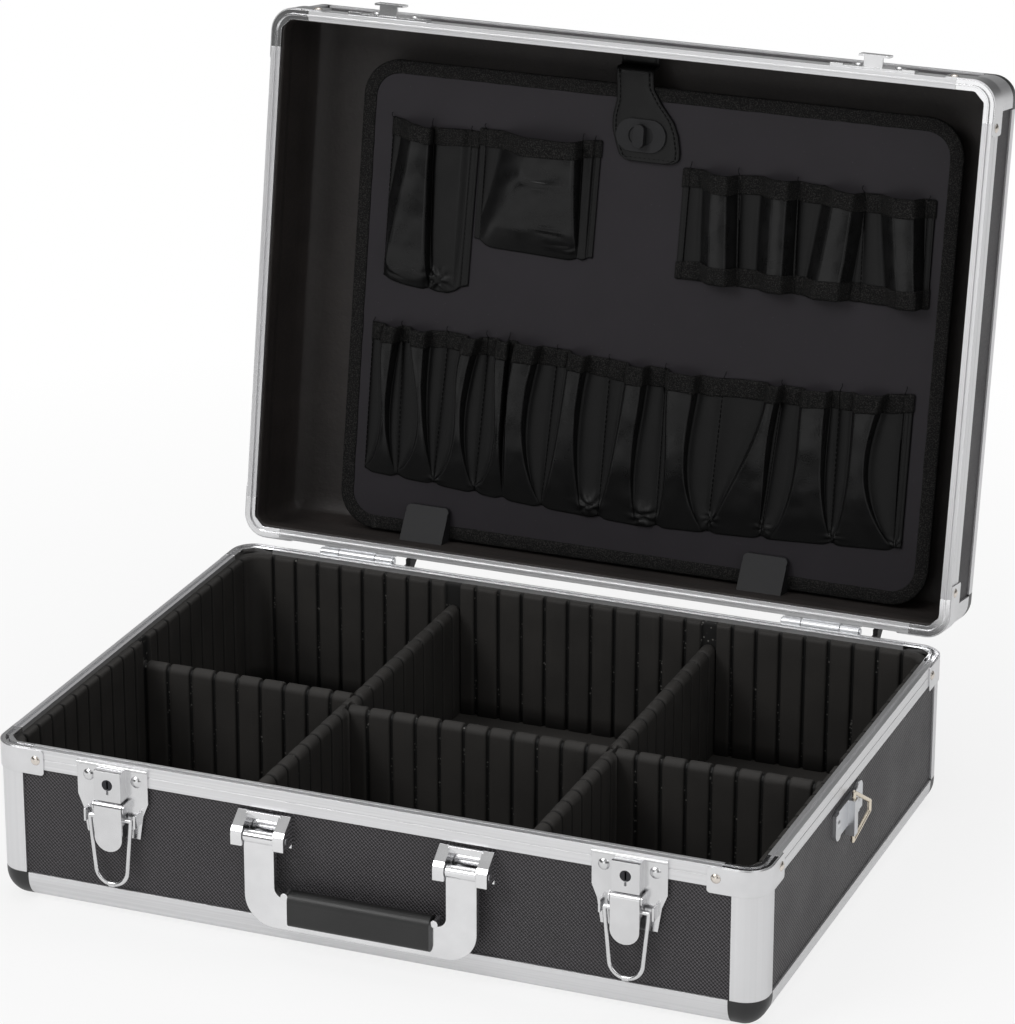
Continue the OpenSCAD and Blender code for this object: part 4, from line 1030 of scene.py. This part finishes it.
class CASE_OT_pockets(bpy.types.Operator):
    """Sewn pockets and loops on the tool board"""

    bl_idname = "case.pockets"
    bl_label = "Pockets and loops"

    def execute(self, context):
        """Every pocket is given by its seams and by the edges of its face, from the
        mouth to the foot, in millimetres across the board."""
        seams = [(-166, -166), (-145.5, -143.5), (-115, -119), (-88, -91), (-74.5, -72.5), (-42, -46)]
        seams += [(-7, -8), (29.5, 30), (67, 63.5), (105, 98), (141, 142.5), (181.5, 182.5), (187, 187)]
        edges = [
            ((-154, -155.5, -154.5, -166), (-147.5, -151.5, -152, -145)),
            ((-136.5, -132, -129.5, -145), (-127.5, -128.5, -126, -119.5)),
            ((-98.5, -104.5, -105, -119), (-93.5, -100.5, -101, -92)),
            ((-77.5, -78.5, -78, -91), (-72.5, -74.5, -75, -72.5)),
            ((-65.5, -70, -70.5, -72), (-53.5, -59.5, -59, -47)),
            ((-30, -33.5, -38, -46), (-21.5, -25.5, -25, -19)),
            ((8.5, 5, 0, -8), (17, 14.5, 12.5, 17)),
            ((34.5, 35, 35.5, 30.5), (50.5, 47.5, 47.5, 60)),
            ((99, 92.5, 79, 64), (104.5, 99.5, 98, 96)),
            ((121.5, 120, 117, 104), (134.5, 134, 135.5, 142)),
            ((154, 153.5, 151.5, 144), (169.5, 162, 164, 182)),
        ]
        taper = (11, 10, 9.2, 8, 6.5, 4, 0.6)
        faces = [(left, right, taper, (0.35, 0.1)) for left, right in edges]
        faces.append(((183, 183), (184.5, 184.5), (1.3, 1.0), (0.1, 0.1)))
        top = ((-166, -57, 42, 126, 187), (28.2, 29, 34.6, 34, 30))
        bottom = ((-166, -120, -47, 17, 96, 187), (122.5, 125, 130, 132.5, 129.5, 125))
        crumples = [(-14, 124, 6.5, 3.4), (22, 126, 6.5, 3.4)]
        crumples += [(seam[1] + 0.6, 122, 3.2, 1.4) for seam in seams[2:4]]
        crumples += [(seam[1] + 1.5, 122, 4.0, 1.6) for seam in seams[8:12]]
        strip = pocket_row(seams, faces, top, bottom, crumples)
        sew("lower_pocket_row", strip, "lower_pockets", seams[:-1], (True,))

        seams = [(-160.5, -161), (-134, -130.5), (-107.5, -109), (-103, -104.5)]
        tube_deep = (10.5, 11, 11, 11, 10.5, 10.5, 10, 9.5, 7.5, 0.8)
        faces = [
            ((-144, -148, -154, -160), (-132.5, -132.5, -132, -130.5), tube_deep, (0.9, 0.05)),
            ((-130.5, -130, -129, -127), (-113, -113, -113.5, -114), (3.4, 3.4, 3.2, 2.8, 0.9), (0.6, 0.8)),
            ((-106.6, -108.2), (-105, -106), (1.2, 1.1), (0.1, 0.1)),
        ]
        top = ((-160, -135, -103), (-101.5, -98.5, -98.5))
        bottom = ((-161, -145, -131, -118, -104), (-1.5, 1.5, 3, 3, -1))
        crumples = [(-124, -4, 7, 3.4), (-150, -3, 7, 1.4)]
        strip = pocket_row(seams, faces, top, bottom, crumples)
        sew("tall_pockets", strip, "upper_pockets", seams[:-1], (True,))

        seams = [(-102, -102), (-98.3, -98.3), (-34.6, -34), (-26.2, -27), (-23, -24)]
        faces = [
            ((-101, -101), (-100, -100), (1.2, 1.1), (0.1, 0.1)),
            ((-68, -74, -84, -97), (-35.5, -35.5, -35, -34.5), (14, 13, 11.5, 9.5, 7, 0.8), (1.4, 0.03)),
            ((-33.2, -33), (-28, -28.6), (3.2, 3.0, 2.6, 1.6), (0.2, 0.3)),
            ((-25.4, -26.3), (-24, -25), (1.2, 1.1), (0.1, 0.1)),
        ]
        top = ((-102, -67, -37, -23), (-101.2, -99, -99.3, -101.5))
        bottom = ((-102, -90, -60, -35, -24), (-31, -28.5, -27.5, -26.5, -27))
        crumples = [(-60, -72, 16, 0.9), (-52, -44, 12, 0.7), (-40, -33, 6, 1.0)]
        strip = pocket_row(seams, faces, top, bottom, crumples)
        sew("broad_pocket", strip, "upper_pockets", seams[1:-1], (True,))

        seams = [(31.5, 31), (35.5, 34.5), (67, 70.5), (104.5, 107), (146, 148.5), (185.5, 187), (190, 190.5)]
        flat = (1.2, 1.2)
        loop = (12, 12, 12)
        faces = [
            ((32.4, 32), (34, 33.4), flat, (0.1, 0.1)),
            ((53, 54, 56), (62, 64, 66), loop, (0.75, 0.3)),
            ((92.5, 92.5, 93.5), (100.5, 101, 101.5), loop, (0.9, 0.3)),
            ((131, 127, 122.5), (142, 140, 136.5), loop, (0.8, 0.4)),
            ((167, 171, 176), (179.5, 182, 185.5), loop, (0.9, 0.3)),
            ((186.6, 188), (188.6, 189.6), flat, (0.1, 0.1)),
        ]
        top = ((31, 100, 139, 190), (-90, -90.5, -88.5, -88))
        bottom = ((30, 190), (-23.5, -24))
        strip = pocket_row(seams, faces, top, bottom, closed=False)
        sew("tool_loop_row", strip, "tool_loops", seams[1:-1], (True, False))
        return {"FINISHED"}


class CASE_OT_strap(bpy.types.Operator):
    """Stitched strap that holds the board under the turn lock"""

    bl_idname = "case.strap"
    bl_label = "Board strap"

    def execute(self, context):
        """A padded section is carried from the lid wall over the fold and down to the
        strap's round end; its left and right edges are smooth lines over the length."""
        wall = -HALF_D + 6.1
        front = BOARD_Z - 1.7
        way = [(wall, 129), (wall, 141.5), (wall + 1.2, 143.6), (-151, 143.8), (-148.7, 142.6)]
        way += [(-148.3, 139), (-148.3, 136), (-147.6, front + 0.6), (-145.5, front), (-92, front)]
        y, z = zip(*way)
        far = np.concatenate([[0], np.cumsum(np.hypot(np.diff(y), np.diff(z)))])
        even = np.linspace(0, far[-1], 130)
        y, z = (soften(np.interp(even, far, a)[None], 3)[0] for a in (y, z))
        ty, tz = np.gradient(y), np.gradient(z)
        ny, nz = tz / np.hypot(ty, tz), -ty / np.hypot(ty, tz)
        spots = (-149, -137, -128, -118, -110, -100, -95, -93.2, -92.3, -92)
        left = np.interp(y, spots, (-17, -15.3, -14.9, -16.8, -16.4, -13, -10.8, -9.2, -7.0, -5.0))
        right = np.interp(y, spots, (7.5, 8.6, 14.4, 22.8, 26.2, 28.2, 28.0, 26.6, 24.4, 22.0))
        left, right = (soften(a[None], 4)[0] for a in (left, right))
        inset = np.array([0, 0.3, 0.9, 1.7, 2.2, 2.5, 2.8, 3.4])
        puff = np.array([-0.3, 0.45, 0.75, 0.85, 0.74, 0.55, 0.74, 0.9])
        inner = np.linspace(0.15, 0.85, 6)
        across = left[:, None] + (right - left)[:, None] * inner
        x = np.concatenate([left[:, None] + inset, across, (right[:, None] - inset)[:, ::-1]], 1)
        lift = np.concatenate([puff, np.full(6, 0.95), puff[::-1]])[None]
        lift = lift + smooth_noise(np.stack([x, x * 0 + y[:, None], x * 0], -1), 17, 9) * 0.12

        def side(height):
            """The strap's outer or inner face, at a height along its own normal."""
            up, out = ny[:, None] * height, nz[:, None] * height
            return np.stack([x, y[:, None] + up, z[:, None] + out], -1)

        loop = np.concatenate([side(lift), side(np.full(x.shape, -0.85))[:, ::-1]], 1)
        # the mark of 0.35 sets how much of the leather's painted shade and painted highlight the strap gets
        shape = Shape().grid(loop, wrap=True, caps=(0, -1), mark=0.35)
        strap = shape.piece("board_strap_pad", lid=True)
        leather = material(make_leather, "Imitation leather")
        dress(strap, "lid", leather, ["board_strap"])
        stitches = Shape()
        flat = np.flatnonzero((y > -147.0) & (y < -94.5))
        foot = np.linspace(left[flat[-1]] + 3.5, right[flat[-1]] - 3.5, 12)
        outline = np.concatenate(
            [
                np.stack([left[flat] + 2.5, y[flat]], 1),
                np.stack([foot, np.full(12, -94.3)], 1),
                np.stack([right[flat] - 2.5, y[flat]], 1)[::-1],
            ]
        )
        line = np.column_stack([outline, np.full(len(outline), front - 0.62)])
        place, ahead = walk(line, 3.0)
        thread(stitches, place, ahead, (0, 0, -1), 2.1, 0.32, rise=0.15)
        seam = stitches.piece("board_strap_thread", lid=True)
        dress(seam, "lid", black_thread())
        return {"FINISHED"}


class CASE_OT_finishes(bpy.types.Operator):
    """Materials of the solids that stay visible"""

    bl_idname = "case.finishes"
    bl_label = "Finishes"

    def execute(self, context):
        chrome, rail = tuple(colours().chrome), tuple(colours().rail)
        cover(["base_side_panels"], material(make_panel, "Embossed panel", False))
        cover(["lid_side_panels"], material(make_panel, "Embossed lid panel", True))
        cover(["base_bottom_panel"], material(make_panel, "Embossed bottom", False, flat=True))
        cover(["lid_top_panel"], material(make_panel, "Embossed top", True, flat=True))
        cover(["base_rim_rails", "base_bottom_edges"], material(make_rail, "Drawn rail", False))
        cover(["lid_rim_rails", "lid_top_edges"], material(make_rail, "Drawn lid rail", True))
        cover(["base_corner_posts"], material(make_rail, "Drawn post", False, upright=True))
        cover(["lid_corner_posts"], material(make_rail, "Drawn lid post", True, upright=True))
        bright = material(make_metal, "Bright plate", chrome, 0.14)
        cover(["base_rim_corners", "lid_rim_corners", "handle_frame", "handle_brackets"], bright)
        # painted shade: the fittings colour is darkened here to stand in for darker reflections on the
        # latches
        pressed = material(make_metal, "Pressed plate", scaled(chrome, 0.88), 0.2, radius=0.0003)
        cover(["latch_plate_left", "latch_plate_right", "latch_lever_left", "latch_lever_right"], pressed)
        cover(["latch_bail_left", "latch_bail_right", "latch_catches"], pressed)
        sheet = material(make_metal, "Bracket sheet", rail, 0.3)
        cover(["base_corner_brackets", "lid_corner_brackets"], sheet)
        rivet = material(make_metal, "Rivet", (0.78, 0.72, 0.66), 0.25)
        cover(["base_rivets", "lid_rivets"], rivet)
        zinc = material(make_metal, "Zinc plate", (0.72, 0.73, 0.75), 0.32)
        cover(["strap_brackets", "hinge_base_leaves", "hinge_lid_leaves"], zinc)
        cover(["hinge_pins", "latch_pins", "handle_pins"], zinc)
        brass = material(make_metal, "Pale brass", (0.78, 0.70, 0.58), 0.2)
        cover(["strap_ring_left", "strap_ring_right"], brass)
        cap = material(make_plastic, "Corner plastic", (0.016, 0.016, 0.017), 0.3)
        cover(["base_corner_caps", "lid_corner_caps"], cap)
        dull = material(make_plastic, "Dull plastic", (0.013, 0.013, 0.014), 0.46, shine=0.25)
        cover(["board_clips", "turn_lock_plate", "turn_lock_knob", "lid_stops"], dull)
        core = material(make_metal, "Lock core", (0.05, 0.05, 0.055), 0.4)
        cover(["lock_cylinder_left", "lock_cylinder_right"], core)
        rubber = material(make_plastic, "Grip rubber", (0.012, 0.012, 0.012), 0.32, 900.0, 0.00003)
        cover(["handle_grip"], rubber)
        cover(["tool_board"], material(make_board, "Board cover"))
        return {"FINISHED"}


# where the photograph was taken from, in metres, and the way it looks
PHOTO_FROM = (0.8931, -2.1853, 1.1259)
PHOTO_AHEAD = (-0.347, 0.8653, -0.3618)
PHOTO_ROLL = math.radians(0.04)
PHOTO_LENS = 156.07


def pale_floor(scene):
    """A wide pale floor that the camera sees almost white, with a soft shadow left."""
    floor = bpy.data.meshes.new("floor")
    r, z = 6.0, -0.0006
    floor.from_pydata([(-r, -r, z), (r, -r, z), (r, r, z), (-r, r, z)], [], [(0, 1, 2, 3)])
    ground = bpy.data.objects.new("floor", floor)
    scene.collection.objects.link(ground)
    p = Paint("Pale floor")
    path = p.node("ShaderNodeLightPath")
    seen = path.socket.node.outputs
    clear = Value(p, seen["Is Camera Ray"]).greatest(Value(p, seen["Is Transmission Ray"]))
    clear = clear.greatest(Value(p, seen["Is Glossy Ray"]) * 0.45)
    at = p.places()
    x, y, _ = p.split(at)
    far = (x * x + y * y) ** 0.5
    fade = far.ramp(0.3, 0.9)
    p.finish(base_color=(0.86, 0.86, 0.86, 1), roughness=0.7)
    glow = p.node("ShaderNodeEmission", None, {0: (1, 1, 1, 1), 1: 1.0})
    mix = p.node("ShaderNodeMixShader", None, {0: clear * (fade * 0.2 + 0.8), 2: glow})
    p.tree.links.new(p.shader.outputs[0], mix.socket.node.inputs[1])
    out = next(n for n in p.tree.nodes if n.type == "OUTPUT_MATERIAL")
    p.tree.links.new(mix.socket, out.inputs[0])
    floor.materials.append(p.material)


def studio_world(scene):
    """A grey room: bright above, dark just over the horizon. The camera sees white."""
    world = bpy.data.worlds.new("Studio")
    scene.world = world
    world.use_nodes = True
    tree = world.node_tree
    tree.nodes.clear()
    make, link = tree.nodes.new, tree.links.new
    place, split = make("ShaderNodeTexCoord"), make("ShaderNodeSeparateXYZ")
    link(place.outputs["Generated"], split.inputs[0])
    ramp = make("ShaderNodeValToRGB")
    # height, from straight down at 0 to straight up at 1, and the grey there
    stops = ((0.0, 0.5), (0.4, 0.42), (0.5, 0.3), (0.56, 0.08), (0.64, 0.12))
    stops += ((0.76, 0.7), (1.0, 0.85))
    while len(ramp.color_ramp.elements) < len(stops):
        ramp.color_ramp.elements.new(1.0)
    for element, (spot, grey) in zip(ramp.color_ramp.elements, stops):
        element.position, element.color = spot, (grey, grey, grey, 1)
    half = make("ShaderNodeMath")
    half.operation = "MULTIPLY_ADD"
    half.inputs[1].default_value = half.inputs[2].default_value = 0.5
    link(split.outputs[2], half.inputs[0])
    link(half.outputs[0], ramp.inputs[0])
    light, white = make("ShaderNodeBackground"), make("ShaderNodeBackground")
    mix = make("ShaderNodeMixShader")
    link(ramp.outputs[0], light.inputs[0])
    light.inputs[1].default_value = 0.6
    white.inputs[0].default_value = (1, 1, 1, 1)
    ray, out = make("ShaderNodeLightPath"), make("ShaderNodeOutputWorld")
    link(ray.outputs["Is Camera Ray"], mix.inputs[0])
    link(light.outputs[0], mix.inputs[1])
    link(white.outputs[0], mix.inputs[2])
    link(mix.outputs[0], out.inputs[0])


def studio_lamps(scene):
    """Four square lamps aimed over the middle of the tray: place, width and power."""
    lamps = (
        ("key", (-1.3, -1.9, 2.1), 1.3, 28.0),
        ("fill", (2.0, -1.3, 1.2), 1.6, 8.0),
        ("top", (0.1, 0.5, 2.6), 1.8, 16.0),
        ("low", (-0.2, -2.6, 0.5), 1.5, 7.0),
    )
    for name, spot, wide, power in lamps:
        data = bpy.data.lights.new(name, "AREA")
        data.size, data.energy = wide, power
        lamp = bpy.data.objects.new(name, data)
        lamp.location = spot
        aim = Vector((0.0, 0.0, 0.14)) - Vector(spot)
        lamp.rotation_euler = aim.to_track_quat("-Z", "Y").to_euler()
        scene.collection.objects.link(lamp)


def photo_camera(scene):
    """The camera that was fitted to the photograph's rim, edge and post lines."""
    data = bpy.data.cameras.new("photo_view")
    data.sensor_width, data.lens = 36.0, PHOTO_LENS
    data.clip_start, data.clip_end = 0.05, 50.0
    camera = bpy.data.objects.new("photo_view", data)
    ahead = Vector(PHOTO_AHEAD).normalized()
    right = ahead.cross(Vector((0, 0, 1))).normalized()
    up = right.cross(ahead)
    c, s = math.cos(PHOTO_ROLL), math.sin(PHOTO_ROLL)
    right, up = right * c + up * s, up * c - right * s
    turn = Matrix((right, up, -ahead)).transposed().to_4x4()
    camera.matrix_world = Matrix.Translation(PHOTO_FROM) @ turn
    scene.collection.objects.link(camera)
    scene.camera = camera


class CASE_OT_stage(bpy.types.Operator):
    """Floor, lamps and the camera at the photograph's angle"""

    bl_idname = "case.stage"
    bl_label = "Stage"

    def execute(self, context):
        for part in (pale_floor, studio_world, studio_lamps, photo_camera):
            part(context.scene)
        context.scene.view_settings.view_transform = "Standard"
        return {"FINISHED"}


class CASE_PT_sidebar(bpy.types.Panel):
    """Buttons and settings of the tool case"""

    bl_label = "Tool case"
    bl_space_type = "VIEW_3D"
    bl_region_type = "UI"
    bl_category = "Tool case"

    def draw(self, context):
        for group in (context.scene.case_sizes, context.scene.case_colours):
            for name in group.bl_rna.properties.keys():
                if name not in ("rna_type", "name"):
                    self.layout.prop(group, name)
        for step in STEPS:
            self.layout.operator(step.bl_idname)


STEPS = (
    CASE_OT_stage,
    CASE_OT_finishes,
    CASE_OT_wall_foam,
    CASE_OT_dividers,
    CASE_OT_lid_liner,
    CASE_OT_board_edge,
    CASE_OT_pockets,
    CASE_OT_strap,
)
CLASSES = (CaseSizes, CaseColours, *STEPS, CASE_PT_sidebar)


def register():
    for one in CLASSES:
        bpy.utils.register_class(one)
    bpy.types.Scene.case_sizes = bpy.props.PointerProperty(type=CaseSizes)
    bpy.types.Scene.case_colours = bpy.props.PointerProperty(type=CaseColours)


def unregister():
    del bpy.types.Scene.case_sizes
    del bpy.types.Scene.case_colours
    for one in reversed(CLASSES):
        bpy.utils.unregister_class(one)


def main():
    register()
    for step in STEPS:
        group, name = step.bl_idname.split(".")
        getattr(getattr(bpy.ops, group), name)()


if __name__ == "__main__":
    main()
